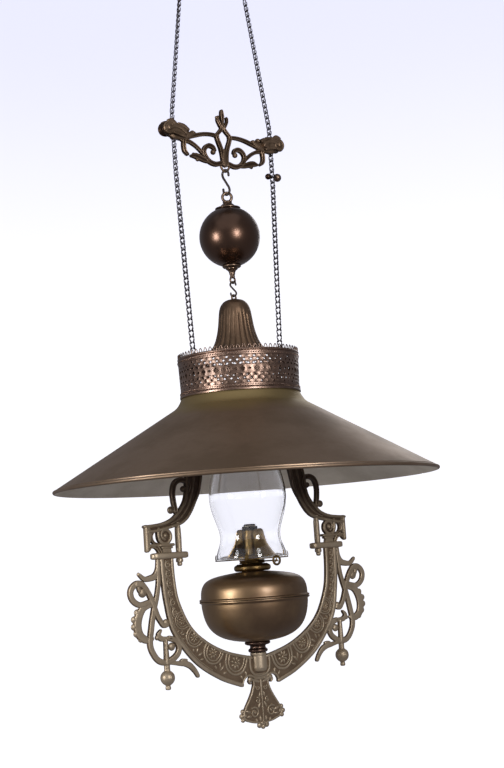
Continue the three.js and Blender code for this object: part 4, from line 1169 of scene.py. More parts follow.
# %% Yoke: scroll, leaf and lower arm
def yoke_scroll():
    side = Shape()
    side.join(bar([(12.6, 361.0), (15.2, 364.2), (20.2, 365.4), (25.4, 362.6), (27.4, 357.4),
                   (24.8, 351.2), (19.6, 346.9), (12.4, 345.6), (5.0, 347.6)],
                  [3.0, 4.8, 5.2, 5.0, 4.8, 5.0, 5.4, 5.4, 5.0], THICK, GROOVED, 80))
    side.join(bead(14.9, 358.8, 3.0, 3.0))
    side.join(bar([(20.5, 347.2), (27, 348.2), (33, 350.2), (39.2, 351.6), (44.6, 351.2)],
                  [3.8, 5.2, 6.8, 6.6, 3.0], THICK, GROOVED, 34))
    side.join(bead(36.6, 348.4, 2.6, 2.0))
    side.join(bead(41.4, 353.2, 2.0, 1.9))
    return side.join(bar([(26.4, 353.0), (31.5, 357.6), (38, 362.6), (46, 366.4), (56, 368.2)],
                         [3.6, 3.8, 4.0, 4.4, 5.6], THICK - 0.4, GROOVED, 34))


print("faces in the yoke's scroll:", len(yoke_scroll().faces))


# %% [markdown]
# The pulley runs between two cheeks, which are dressed with overlapping leaves, so that the housing
# looks like a bud. The cheeks are turned bosses on a block, and the leaves are crowned bars that
# are shifted outward to lie on the cheek.

# %% Yoke: the pulley's housing
def pulley_housing():
    side = Shape()
    side.join(bar([(53.2, 367), (53.9, 361), (53.0, 355.5), (49.6, 352)],
                  [5.0, 4.6, 4.4, 3.0], 5.0, GROOVED, 24))
    side.join(bar([(66, 372), (56, 372.5), (47, 373.4), (39.6, 376.8)],
                  [11.5, 10.4, 7.4, 3.0], 6.6, CROWNED, 30))
    side.join(bar([(60, 374), (52, 375.2), (45, 376.5)], [1.8, 1.6, 1.0], 7.4, CROWNED, 20))
    for x, z, radius in ((41.4, 377.0, 2.6), (48.4, 379.2, 3.0), (56.4, 380.4, 3.3)):
        side.join(bead(x, z, radius, 3.4))
    for y in (-1, 1):
        cheek = turned(rounded([(0, 4.5), (7.0, 4.5), (7.0, 5.7), (6.4, 6.6), (5.4, 6.6), (4.8, 6.0),
                                (3.4, 6.2), (0, 6.3)], 0.5), 56)
        side.join(cheek, Matrix.Translation((REACH, 0, YOKE)) @ Matrix.Rotation(-y * QUARTER, 4, "X"))
        low, high = (4.55, 6.35) if y > 0 else (-6.35, -4.55)
        side.join(block(60.4, 76.5, low, high, YOKE - 5.6, YOKE + 5.2))
        for leaf_line, widths, lift in (
                ([(66.5, YOKE + 5.6), (71, YOKE + 8.2), (76, YOKE + 7.4)], [4.0, 4.8, 3.0], 5.5),
                ([(53.5, YOKE - 3.2), (60, YOKE + 1.6), (67.5, YOKE + 2.6), (72.0, YOKE - 0.6)],
                 [3.0, 4.4, 4.6, 2.2], 6.3),
                ([(55, YOKE - 7.6), (62, YOKE - 5.6), (69.5, YOKE - 4.6)], [2.4, 3.8, 2.4], 6.1),
                ([(50, YOKE + 1.0), (56, YOKE + 4.4), (63, YOKE + 6.0)], [2.4, 3.8, 2.2], 5.9)):
            side.join(bar(leaf_line, widths, 2.0, CROWNED, 18, shift=lift * y))
    return side.join(block(52.0, 62.0, -6.2, 6.2, YOKE - 5.3, YOKE + 4.9))


print("faces in one housing:", len(pulley_housing().faces))


# %% [markdown]
# Last come the fleuron's three leaves, the boss where the two halves meet, and the shackle that the
# ball's hook hangs in. The two halves are joined, and the middle pieces are added once, because two
# faces in one place would show black.

# %% Yoke: fleuron, shackle and the whole
def yoke():
    side = yoke_arm().join(yoke_scroll()).join(pulley_housing())
    side.join(bar([(1.4, 387), (4.4, 391.6), (6.4, 396.0), (6.0, 400.0)],
                  [3.4, 3.2, 3.0, 2.0], 4.4, GROOVED, 20))
    side.join(bead(7.4, 399.0, 1.5, 1.7))
    whole = Shape().join(side).join(side.mirrored())
    whole.join(bar([(0, 386), (0, 394), (0, 401), (0, 407.2)], [3.0, 3.0, 5.2, 3.0], 4.8, GROOVED, 24))
    whole.join(bar([(0, 362.5), (0, 354), (0, 347.5)], [3.4, 8.0, 8.4], THICK, CROWNED, 16))
    shackle = [(-5.6, 0, 347.4), (-5.4, 0, 343.6), (-3.2, 0, 340.2), (0, 0, 338.5), (3.2, 0, 340.2),
               (5.4, 0, 343.6), (5.6, 0, 347.4)]
    whole.join(wire(shackle, 1.3, 40, 12))
    # The yoke's second look is painted shade on its grooves and side walls.
    piece("pulley_yoke_cast", whole, "yoke", ["pulley_yoke"], [yoke_brass, yoke_hollow_shade])


yoke()


# %% [markdown]
# ## Pulleys
# Each wheel has a groove for the chain and turns on a riveted axle. Little of them shows between the
# cheeks, so a plain cylinder might do, but the joints turn about them and the groove sets how fast.
# Both are turned and laid across.

# %% Pulleys
def pulleys():
    wheel = [(1.7, -4.2), (7.6, -4.2), (7.7, -3.8), (7.4, -3.0), (6.2, -1.6), (6.1, 0), (6.2, 1.6),
             (7.4, 3.0), (7.7, 3.8), (7.6, 4.2), (1.7, 4.2), (1.7, -4.2)]
    shape = Shape().join(turned(rounded(wheel, 0.3), 64), across(REACH, YOKE))
    pair("pulley_wheel", shape, None, [dark_bronze], bodies=("wheel_left", "wheel_right"))
    axle = [(0, -8.35), (1.6, -8.3), (2.9, -7.6), (3.2, -7.05), (1.5, -7.0), (1.5, 7.0), (3.2, 7.05),
            (2.9, 7.6), (1.6, 8.3), (0, 8.35)]
    shape = Shape().join(turned(rounded(axle, 0.25), 32), across(REACH, YOKE))
    pair("pulley_axle", shape, "yoke", [yoke_brass])


pulleys()


# %% [markdown]
# ## S hooks
# Wire S hooks join the yoke, the ball and the bell, so that each can swing by itself. An S could be
# made of two half rings, but a real hook opens toward its ends. Here one lobe is drawn as points and
# turned round for the other. The whole hook is turned about the vertical, so that it hangs free in
# both of its eyes.

# %% S hooks
S_LOBE = [(-1.0, 0.62), (-0.95, 0.85), (-0.6, 1.08), (0, 1.17), (0.62, 1.06), (1.0, 0.8), (0.85, 0.5),
          (0.35, 0.2)]
S_TURN = Matrix.Rotation(math.radians(30), 4, "Z")


def s_hook(body, upper, lower, wire_radius, bend):
    half = (upper - lower) / 2
    curve = S_LOBE + [(-y, -z) for y, z in reversed(S_LOBE)]
    points = [(0, y * bend, (upper + lower) / 2 + (half + wire_radius) * z / 1.1) for y, z in curve]
    hook = Shape().join(wire(points, wire_radius, 110), S_TURN)
    piece(body + "_hook_wire", hook, body, [body + "_hook"], [hook_steel], 60)


s_hook("ball", 338.5, 314.84, 1.3, 3.6)
s_hook("bell", 214.72, 201.6, 1.0, 3.2)


# %% [markdown]
# ## Counterweight ball
# The ball balances the lamp. It is a hollow bronze ball with a turned cap above and a turned finial
# below. A sphere from Blender's own list would run on into both of them, so it is an outline too:
# the part of a circle that lies between the cap and the finial.

# %% Counterweight ball
BALL_HEIGHT, BALL_RADIUS = 265.7, 33
CAP_FOOT, FINIAL_HEAD = 13, 10.2


def ball_outline():
    low, high = -math.acos(FINIAL_HEAD / BALL_RADIUS), math.acos(CAP_FOOT / BALL_RADIUS)
    profile = [(0, 234.32)]
    for i in range(41):
        angle = low + (high - low) * i / 40
        profile.append((BALL_RADIUS * math.cos(angle), BALL_HEIGHT + BALL_RADIUS * math.sin(angle)))
    return profile + [(0, 296.03)]


piece("counterweight_ball_spun", turned(ball_outline(), 128), "ball", ["counterweight_ball"],
      [ball_bronze], 50)


# %% [markdown]
# The cap and the finial were turned on a lathe, each with a wire eye for a hook. Modelled by hand they
# would be stacked rings. One outline each gives every step and bead of the turning at once.

# %% Ball's cap and finial
cap = turned(rounded([(0, 296.33), (13.4, 296.33), (13.9, 297.0), (13.7, 297.9), (12.4, 298.3),
                      (10.0, 298.9), (8.4, 299.8), (7.0, 301.2), (5.6, 302.4), (4.4, 302.9),
                      (4.9, 303.6), (5.3, 304.4), (4.7, 305.4), (3, 306), (0, 306.2)], 0.5), 72)
cap.join(ring(5, 1.6, 48, 14), Matrix.Translation((0, 0, 309.84)) @ S_TURN.inverted() @ across(0, 0))
piece("ball_cap_turned", cap, "ball", ["ball_cap"], [cap_brass])
finial = turned(rounded([(0, 220.0), (2.2, 220.1), (2.9, 221.4), (2.6, 223.2), (3.3, 224.6), (3.3, 226.2),
                         (4.4, 228.4), (6.6, 230), (6.4, 231), (9, 231.6), (FINIAL_HEAD, 232.6),
                         (FINIAL_HEAD, 234.02), (0, 234.02)], 0.5), 64)
finial.join(ring(3.2, 1.1, 40, 12), across(0, 217.92))
piece("ball_finial_turned", finial, "ball", ["ball_finial"], [cap_brass])


# %% [markdown]
# ## Smoke bell
# The bell hangs over the chimney and catches the soot. It was spun and then fluted, with hollows that
# begin below its shoulder and open toward the rim. The flutes could be cut with a Boolean, but here
# the wall is simply pressed in as the outline goes round, so the inside follows the outside.

# %% Smoke bell
BELL_TOP, BELL_HEIGHT, BELL_RADIUS = 196.5, 57, 31.5
FLUTES, FLUTE_DEPTH = 22, 0.05
FLUTE_START, FLUTE_RUN = 0.16, 0.2
BELL_LINE = [(0.16, 0), (0.33, 0.03), (0.46, 0.1), (0.53, 0.19), (0.56, 0.3), (0.585, 0.42), (0.62, 0.55),
             (0.67, 0.67), (0.74, 0.79), (0.84, 0.9), (0.97, 0.99)]


def flute(angle, reach, z):
    share = max(0.0, min(1.0, ((BELL_TOP - z) / BELL_HEIGHT - FLUTE_START) / FLUTE_RUN))
    return 1 + FLUTE_DEPTH * share * (abs(math.sin(FLUTES * angle / 2)) ** 0.7 - 0.75)


def smoke_bell():
    line = smooth(BELL_LINE, 40)
    outer = [(p.x * BELL_RADIUS, BELL_TOP - p.y * BELL_HEIGHT) for p in line]
    inner = [(p.x * BELL_RADIUS - 1, BELL_TOP - 1 - p.y * (BELL_HEIGHT - 1)) for p in line]
    profile = [(0, BELL_TOP)] + outer + inner[::-1] + [(0, BELL_TOP - 1)]
    shape = turned(profile, FLUTES * 10, flute=flute)
    shape.join(ring(2.8, 1.0, 36, 12), across(0, 198.8))
    button = [(0, BELL_TOP + 1), (3, BELL_TOP + 0.9), (4.6, BELL_TOP - 0.4), (0, BELL_TOP - 0.4)]
    return shape.join(turned(rounded(button, 0.5), 40))


piece("smoke_bell_fluted", smoke_bell(), "bell", ["smoke_bell"], [bell_brass], 60)


# %% [markdown]
# ## Crown gallery: one hole
# The crown is a brass band pierced in seven rows, with pointed holes in the middle and slanting
# leaf-shaped ones above and below. A Boolean could cut them, or a mask could hide them, but a cut is
# slow and a mask leaves no thickness. So the band is laid out in small cells with one hole each. The
# metal stands a little higher round the hole, and the cut edge is painted dark, as shade inside the hole.

# %% One pierced cell
CROWN_FOOT, CROWN_TOP = (63.2, 92.5), (64.7, 134.5)
CROWN_WALL = 1.0
HOLE_POINTS = 16
LIP_WIDTH, LIP_RISE, LIP_FALL = 0.3, 0.28, 0.1


def outline(count, power=None):
    """Points round a diamond (power 1), a circle (2), a soft square (5) or a true square (None)."""
    points = []
    for i in range(count):
        c, s = math.cos(TAU * i / count), math.sin(TAU * i / count)
        size = (abs(c) ** power + abs(s) ** power) ** (1 / power) if power else max(abs(c), abs(s))
        points.append((c / size, s / size))
    return points


def hole_edge(power, half_width, half_height, turn):
    c, s = math.cos(turn), math.sin(turn)
    return [(half_width * x * c - half_height * z * s, half_width * x * s + half_height * z * c)
            for x, z in outline(HOLE_POINTS, power)]


def crown_radius(z):
    (low_radius, low), (top_radius, top) = CROWN_FOOT, CROWN_TOP
    return low_radius + (top_radius - low_radius) * (z - low) / (top - low)


def pierced_cell(x, z, width, height, power, half_width, half_height, turn):
    edge = [(width / 2 * a, height / 2 * b) for a, b in outline(HOLE_POINTS)]
    lip = hole_edge(power, half_width + LIP_WIDTH, half_height + LIP_WIDTH, turn)
    hole = hole_edge(power, half_width, half_height, turn)
    cell = Shape()
    for loop, out in ((edge, 0), (lip, LIP_RISE), (hole, LIP_FALL), (hole, -CROWN_WALL), (edge, -CROWN_WALL)):
        for a, b in loop:
            angle, reach = (x + a) / CROWN_FOOT[0], crown_radius(z + b) + out
            cell.points.append((reach * math.cos(angle), reach * math.sin(angle), z + b))
    cell.faces = skin(5, HOLE_POINTS, closed=False)
    # The cut edge round each hole gets the second look: painted shade inside the hole.
    cell.looks = [0] * 2 * HOLE_POINTS + [1] * HOLE_POINTS + [0] * HOLE_POINTS
    return cell


print("faces round one hole:", len(pierced_cell(0, 100, 4, 4, 2, 1, 1, 0).faces))


# %% [markdown]
# ## Crown gallery: rows and bands
# The pattern repeats round the crown, and each row may be shifted by a part of a cell, as in a woven
# border. The rows are a table, because a table is easy to compare with the real piercing: two
# heights, the shift, and the holes of one repeat with their kind, half width, half height and turn.
# A moulded band closes the crown below and above.

# %% Rows and bands
REPEATS = 28
POINTED, OVAL = 1.15, 2
CROWN_ROWS = [
    (124.1, 127.5, 0, [(POINTED, 1.5, 1.0, 0), (POINTED, 0.5, 0.4, 0)]),
    (120.7, 124.1, 0.5, [(POINTED, 1.35, 1.1, 0), (POINTED, 1.35, 1.1, 0)]),
    (117.0, 120.7, 0, [(OVAL, 2.2, 0.9, 0.3), (OVAL, 2.2, 0.9, -0.3)]),
    (108.9, 117.0, 0.25, [(POINTED, 2.3, 3.0, 0), (POINTED, 1.5, 1.5, 0)]),
    (105.2, 108.9, 0, [(OVAL, 1.9, 0.8, -0.4), (OVAL, 1.9, 0.8, 0.4)]),
    (101.5, 105.2, 0.5, [(OVAL, 1.1, 1.1, 0), (OVAL, 1.1, 1.1, 0)]),
    (98.2, 101.5, 0, [(POINTED, 0.5, 0.5, 0), (POINTED, 1.3, 0.9, 0)]),
]
LOWER_BAND = [(0.2, 98.2), (0.9, 97.8), (0.9, 95.2), (0.4, 94.8), (1.0, 94.2), (1.6, 93.2), (1.6, 91.6),
              (1.0, 91.5), (0.9, 92.5), (-1.2, 92.5), (-1.2, 95.6), (-0.9, 98.2), (0.2, 98.2)]
UPPER_BAND = [(0, 127.5), (0.6, 127.9), (0.6, 131.4), (0.1, 131.9), (0.7, 132.5), (0.9, 133.5),
              (0.4, 134.5), (-0.9, 134.5), (-1, 127.5), (0, 127.5)]
BAND_RADII = (CROWN_FOOT[0], crown_radius(UPPER_BAND[0][1]))


def crown_body():
    shape = Shape()
    width = CROWN_FOOT[0] * TAU / REPEATS
    for repeat in range(REPEATS):
        for low, high, shift, holes in CROWN_ROWS:
            cell = width / len(holes)
            for k, hole in enumerate(holes):
                x = repeat * width + (k + shift) * cell + cell / 2
                shape.join(pierced_cell(x, (low + high) / 2, cell, high - low, *hole))
    for radius, band in zip(BAND_RADII, (LOWER_BAND, UPPER_BAND)):
        shape.join(turned([(radius + out, z) for out, z in band], 240))
    return shape


crown = crown_body()
print("corners in the crown's band:", len(crown.points))


# %% [markdown]
# ## Crown gallery: ropes, dots and points
# Two rope mouldings, a row of dots and a row of small arched points trim the bands. They are hundreds
# of equal units, so the node group from above sets them out round the band, and one unit of each
# kind is all that is drawn.

# %% Ropes, dots and points
def crown_trim():
    lower, upper = BAND_RADII
    square_on = Matrix.Rotation(QUARTER, 4, "Z")
    grain = Shape().join(petal(0, 0, 0.5, 2.5, 1.1, 0.62), square_on)
    dot = bead(0, 0, 0.62, 0.62, sides=10)
    bow = bar([(-1.75, 0), (-1.35, 2.2), (0, 4.0), (1.35, 2.2), (1.75, 0)], [0.8, 0.7, 0.8], 0.9, CROWNED, 14)
    point = Shape().join(bow, square_on).join(bead(0, 3.9, 0.55, sides=10))
    for name, shape, count, radius, height in (
            ("lower_rope", grain, 150, lower + 0.85, 96.5), ("upper_rope", grain, 150, upper + 0.55, 129.7),
            ("lower_dots", dot, 180, lower + 0.8, 94.6), ("points", point, 68, upper, 134.3)):
        unit = unit_object(name + "_unit", shape)
        crown.join(ring_of(name, unit, count, radius, height, crown_brass))
        bpy.data.objects.remove(unit)


crown_trim()
piece("crown_gallery_pierced", crown, "lamp", ["crown_gallery"], [crown_brass, crown_hole_shade],
      30, weld=True)


# %% [markdown]
# ## Shade
# The shade is one spun sheet: a wide cone with a wire rolled into its rim, and a neck that curves in
# to the crown. A single wall with a Solidify modifier would be quick, but the two sides need two
# finishes. So the outside and the inside are outlines of their own that meet at the neck and round
# the rim, and they are welded there.

# %% Shade
RIM_RADIUS, RIM_WIRE = 202.9, 1.9


def shade():
    outside = []
    for i in range(13):
        angle = math.radians(-90 + 250 * i / 12)
        outside.append((RIM_RADIUS + RIM_WIRE * math.cos(angle), RIM_WIRE * math.sin(angle)))
    outside += [(201.0, 2.9), (72.5, 79.2), (69.6, 81.5), (67.4, 84.2), (65.6, 87.2), (64.2, 90),
                (63.2, 92.2)]
    inside = [(62.0, 92.2), (62.0, 88.4), (60.4, 88.4), (60.4, 87.3), (62.2, 87.3), (64.4, 84.2),
              (67.2, 80.6), (70.6, 77.9), (200.4, 1.2), (201.4, -0.6), (RIM_RADIUS, -RIM_WIRE)]
    shape = turned(outside, 192)
    shape.join(turned([outside[-1], inside[0]], 192))
    return shape.join(turned(inside, 192, look=1))


piece("shade_spun", shade(), "lamp", ["shade"], [shade_outside, shade_inside], 50, weld=True)


# %% [markdown]
# Inside the neck a cast ring carries the shade, and two eyes on it take the ends of the chains. They
# are hardly seen, so a turned ring and a turned stem with a wire eye are enough.

# %% Shade ring and chain eyes
shade_ring = turned(rounded([(46, 83), (61.5, 83), (61.5, 87), (46, 87), (46, 83)], 0.6), 128)
piece("shade_ring_cast", shade_ring, "lamp", ["shade_ring"], [cast_brass])
eye_stem = [(0, 74), (1.8, 74), (1.8, 87.3), (2.4, 87.3), (2.4, 88.7), (1.8, 89), (1.5, 91), (0, 91.2)]
eye = Shape().join(turned(rounded(eye_stem, 0.3), 32), Matrix.Translation((EYE_X, 0, 0)))
eye.join(ring(4.2, 1.3, 48, 12), along(EYE_X, 95))
pair("chain_eye", eye, "lamp", [hook_steel])


# %% [markdown]
# ## Upper arms: the sweep
# Each arm sweeps down and out from the shade ring as one casting, with raised edges and a deep channel
# between them, painted dark as shade. It could be a single bar with a grooved section, but its two
# edges part toward the middle. So a thin plate fills the ground between two drawn edges, a bar follows
# each edge, and a third one runs down the channel. A small scroll stands on the arm's back.

# %% The sweep of an arm
ARM_SPAN, ARM_DROP, ARM_TOP = 133.5, 124, 82.7
ARM_INNER = [(0.376, 0.0), (0.382, 0.18), (0.408, 0.42), (0.445, 0.63), (0.473, 0.748), (0.515, 0.83),
             (0.553, 0.9), (0.6, 0.963), (0.655, 1.003), (0.73, 1.027), (0.824, 1.047), (0.906, 1.062),
             (0.975, 1.065)]
ARM_OUTER = [(0.458, 0.0), (0.494, 0.18), (0.554, 0.42), (0.598, 0.635), (0.609, 0.748), (0.637, 0.828),
             (0.693, 0.899), (0.749, 0.949), (0.824, 0.979), (0.9, 0.991), (1.0, 0.998)]
ARM_SCROLL = [(0.585, 0.735), (0.572, 0.69), (0.598, 0.65), (0.65, 0.64), (0.7, 0.668), (0.722, 0.735),
              (0.72, 0.81), (0.705, 0.9)]


def in_arm(shares):
    return placed(shares, ARM_SPAN, ARM_DROP, ARM_TOP)


def arm_sweep():
    inner, outer = even(in_arm(ARM_INNER), 60), even(in_arm(ARM_OUTER), 60)
    # The channel's ground takes the second look: painted shade.
    shape = plate(zip(inner, outer), 3.0, look=1)
    for line, inward in ((inner, 1.6), (outer, -1.6)):
        shape.join(bar(moved_in(line, inward), [3.2, 3.4, 3.4, 3.2, 3.0], 6.0, CROWNED, 90))
    middle = [(a + b) / 2 for a, b in zip(inner, outer)]
    shape.join(bar(middle[2:50], [1.2, 3.2, 3.6, 2.6, 1.0], 4.4, CROWNED, 60))
    shape.join(bar(in_arm(ARM_SCROLL), [4.0, 5.0, 5.6, 5.4, 5.2, 5.0], 5, GROOVED, 60))
    shape.join(bead(0.622 * ARM_SPAN, ARM_TOP - 0.715 * ARM_DROP, 3.2, 2.9))
    shape.join(bar(in_arm([(0.7, 0.9), (0.725, 0.893), (0.745, 0.885)]), [3.2, 3.4, 3.6], 4.4, CROWNED, 12))
    return shape.join(bead(0.748 * ARM_SPAN, ARM_TOP - 0.885 * ARM_DROP, 3.9, 3.0))


arm = arm_sweep()
print("faces in the sweep:", len(arm.faces))


# %% [markdown]
# ## Upper arms: bracket and volute
# The arm ends in a square bracket, and between its jaws sits a volute on a small capital. All of it
# could be cut from one outline. Bars laid over each other give the rounded, layered look of the
# casting with a few points each, so the bracket is a short table: points, widths, thickness, section
# and number of steps.

# %% Bracket, volute and capital
BRACKET_PLATE = [((128.6, -41.3), (133.5, -41.2)), ((126.4, -47), (133.5, -47)), ((126.2, -54), (133.5, -54)),
                 ((128.2, -60), (133.5, -60)), ((129.4, -64), (133.5, -64)), ((129.8, -67.8), (133.5, -67.8))]
BRACKET_BARS = [
    ([(131.6, -42.4), (131.5, -66.6)], [3.4, 3.6, 3.8], 5.8, CROWNED, 10),
    ([(118.6, -47.0), (122.6, -47.6), (125.6, -51), (125.9, -55), (123.4, -59), (118, -61.0)],
     [2.8, 3.0, 3.0, 2.8, 2.6], 5.2, GROOVED, 40),
    ([(129.5, -61.6), (124, -62), (118, -61.6)], [3.0, 2.6, 2.6], 5, CROWNED, 16),
    ([(130.0, -66.2), (127.4, -62.8), (123.2, -62.4), (119.4, -64.6), (116.8, -69.0)],
     [2.8, 4.0, 4.6, 4.4, 3.6], 5.4, GROOVED, 30),
    ([(117.0, -45.4), (117.6, -50), (116.8, -56), (113.0, -60.2), (107.6, -60.2), (103.4, -56.6),
      (102.8, -51.4), (106, -47.4), (110.6, -46.8), (113.8, -49.6), (113.6, -53.8), (110.6, -56.4)],
     [3.6, 3.6, 3.4, 3.4, 3.2, 3.0, 2.4], 5.4, CROWNED, 90),
    ([(100.2, -61.9), (116.8, -61.9)], [3.0, 3.0], 7.2, CROWNED, 8),
    ([(102.2, -64.6), (114.6, -64.6)], [2.4, 2.4], 6.4, CROWNED, 8),
]
CAPITAL_PLATE = [((102.6, -60.6), (114.2, -60.6)), ((103.2, -66), (113.6, -66)),
                 ((102.4, -69.8), (114.4, -69.8))]


def bars(shape, table):
    for points, *rest in table:
        shape.join(bar(points, *rest))


arm.join(plate(BRACKET_PLATE, 5, edge=0.8))
bars(arm, BRACKET_BARS)
arm.join(bead(109.4, -52.6, 3.0, 3.0))
# A disc in the volute's eye takes the second look: painted shade.
arm.join(turned([(0, -1.4), (7.2, -1.4), (7.2, 1.4), (0, 1.4)], 40, look=1), across(110.6, -53.6))
arm.join(plate(CAPITAL_PLATE, 5.2, edge=0.8))
pair("upper_arm", arm, "lamp", [shaded_arm_brass, arm_hollow_shade])


# %% [markdown]
# ## Cross bars and drop rods
# A short square bar lies across the head of each of the harp's columns, and a turned rod drops from
# the arm's curl through it. A cube with a bevel would do for the bar. Here it is a row of soft squares
# that shrink toward both ends, so the ends are rounded both ways.

# %% Cross bars and drop rods
def cross_bar():
    low, high = -76.1, -69.4
    stations = [(82.5, 0.15), (83.0, 0.5), (84.0, 0.75), (85.6, 0.93), (87.9, 1), (121.5, 1), (123.8, 0.93),
                (125.4, 0.75), (126.4, 0.5), (126.9, 0.15)]
    corners = []
    for x, share in stations:
        half = (high - low) / 2 * (0.4 + 0.6 * share)
        corners += [(x, 5.3 * share * a, (low + high) / 2 + half * b) for a, b in outline(24, 5)]
    return skinned(corners, 24)


pair("cross_bar", cross_bar(), "lamp", [cast_brass, cast_hollow_shade], 45)
rod_line = [(0, -84.0), (1.6, -83.9), (2.6, -82.8), (2.7, -80.8), (2.3, -80.3), (3.6, -79.9), (3.8, -79.2),
            (3.8, -77.0), (3.4, -76.4), (3.1, -76), (3.1, -70), (3.3, -66), (3.35, -52), (3.2, -46),
            (2.8, -44), (2.7, -39.5), (0, -39.5)]
rod = Shape().join(turned(rounded(rod_line, 0.4), 40), Matrix.Translation((92.6, 0, 0)))
pair("drop_rod", rod, "lamp", [cast_brass])


# %% [markdown]
# ## Harp: ground and rims
# The harp is the large casting that holds the font: two columns that widen into a crescent. It could
# be carved by displacement from a drawing, but then its rims would be soft and its mesh very heavy.
# Instead a thin plate is the ground, bars follow both edges as raised rims, and the ornament is set
# on the ground piece by piece. Both edges are given as shares of the harp's half width and drop.

# %% Ground and rims
HARP_HALF, HARP_DROP, HARP_TOP = 117, 136.6, -75.9
HARP_OUTER = [(1, -0.0015), (0.995, 0.164), (0.976, 0.324), (0.927, 0.514), (0.812, 0.671), (0.654, 0.811),
              (0.427, 0.93), (0.214, 1)]
HARP_INNER = [(0.865, -0.0015), (0.858, 0.164), (0.825, 0.324), (0.718, 0.507), (0.556, 0.631),
              (0.342, 0.722), (0.085, 0.78)]


def in_harp(shares):
    return placed(shares, HARP_HALF, HARP_DROP, HARP_TOP)


outer_edge, inner_edge = even(in_harp(HARP_OUTER), 90), even(in_harp(HARP_INNER), 90)
# The ground takes the second look: painted shade between the raised rims.
half_harp = plate(zip(inner_edge, outer_edge), 2.8, look=1)
half_harp.join(plate([((18.5, -187), (25.2, -187)), ((18.0, -202.3), (25.3, -205)),
                      ((21.8, -205.0), (25.2, -208)), ((24.2, -208.4), (25.1, -212.4))],
                     3.2, look=1, edge=0.4))
bars(half_harp, [
    (moved_in(outer_edge, -1.9), [4.6, 4.4, 4.2, 4.0, 4.0], 5.0, CROWNED, 150),
    (moved_in(outer_edge, -4.6)[2:70], [1.0, 1.2, 1.0], 3.9, CROWNED, 120),
    (moved_in(inner_edge, 1.7), [3.6, 3.4, 3.2, 3.2, 3.2], 5.0, CROWNED, 150),
    ([(10.0, -203.2), (15.2, -201.9), (19.6, -203.2), (22.6, -206.4), (24.2, -211.0)], [2.6, 2.4, 2.2, 1.8],
     4.6, CROWNED, 40)])
print("faces in the ground and the rims:", len(half_harp.faces))


# %% [markdown]
# ## Harp: rosettes in arches
# On the crescent, rosettes hang in double arches that grow towards the middle, with small leaves in
# the corners. They could be set out by an array along a curve, but their size changes and the outer
# rim cuts the arches off. So each one is placed on the ground one by one, and measures how much room it
# has up to the inner rim.

# %% Rosettes in arches
ARCH_LINE = [(-1, -0.95), (-1, -0.3), (-0.95, 0.2), (-0.66, 0.68), (0, 0.93), (0.66, 0.68), (0.95, 0.2),
             (1, -0.3), (1, -0.95)]


def arch(spot, down, run, radius, thickness, room):
    """Two thin U-shaped ribs round a rosette. room is how far they may reach up to the rim."""
    shape = Shape()
    for reach, width in ((1.78, 0.34), (1.3, 0.26)):
        points = []
        for u, v in ARCH_LINE:
            rise = max(v * radius * reach, -room * (0.5 if v > -0.5 else 1))
            points.append(spot + run * u * radius * reach + down * rise)
        shape.join(bar(points, [width * radius] * 3, thickness, CROWNED, 50))
    return shape


for x, z, radius in ((31.2, -187.0, 7.4), (59.4, -174.4, 6.5), (81.8, -156.6, 5.6), (95.4, -138.6, 4.9)):
    spot = Vector((x, z))
    rim = nearest(inner_edge, spot)
    down = (nearest(outer_edge, spot) - rim).normalized()
    run = Vector((-down.y, down.x))
    heading = math.atan2(down.y, down.x)
    half_harp.join(rosette(x, z, radius * 1.05, 2.7, heading))
    half_harp.join(arch(spot, down, run, radius, 4.6, (spot - rim).length - 2.4))
    for sign in (-1, 1):
        for sideways, below, turn, size in ((2.1, 1.15, 0.5, 1.3), (1.5, 1.75, 0.9, 0.9)):
            corner = spot + run * sign * radius * sideways + down * radius * below
            half_harp.join(petal(corner.x, corner.y, heading + sign * turn, radius * size,
                                 radius * 0.44, 2.5))
print("faces with the rosettes:", len(half_harp.faces))


# %% [markdown]
# ## Harp: running scroll and socket
# A running scroll climbs each column: a whorl, a leaf that leads to the next one, and a bead in its
# eye. Below, a rib is bent round the font's socket. Half of the harp is now complete, so it is
# mirrored, and the plates that cross the middle are added once. Mirrored too, they would lie in
# themselves, and two surfaces in one place render black.

# %% Running scroll, middle and socket
WHORLS, FIRST_WHORL, WHORL_PITCH = 6, -81.5, 9.6

for i in range(WHORLS):
    z = FIRST_WHORL - WHORL_PITCH * i
    a, b = (nearest(edge, Vector((107, z))) for edge in (outer_edge, inner_edge))
    x = a.x * 0.46 + b.x * 0.54
    half_harp.join(spiral(x, z, 3.4, 1.3, 1.5, 4.9, start=QUARTER, hand=-1))
    half_harp.join(bar([(x + 2.6, z + 3.6), (x + 3.2, z - 0.5), (x + 1.5, z - 4.2), (x - 1.6, z - 6.0)],
                       [1.3, 1.8, 1.3], 4.8, CROWNED, 20))
    half_harp.join(bead(x, z, 1.2, 2.6, sides=12))
bars(half_harp, [
    ([(12.8, -182.8), (12.8, -192), (11.4, -198), (7.0, -202), (0, -203.4)], [2.6, 2.6, 2.6], 5.0,
     CROWNED, 40),
    ([(4.0, -205.6), (8.2, -205.2), (10.4, -202.6)], [1.2, 1.6, 1.4], 4.6, CROWNED, 16)])
harp = Shape().join(half_harp).join(half_harp.mirrored())
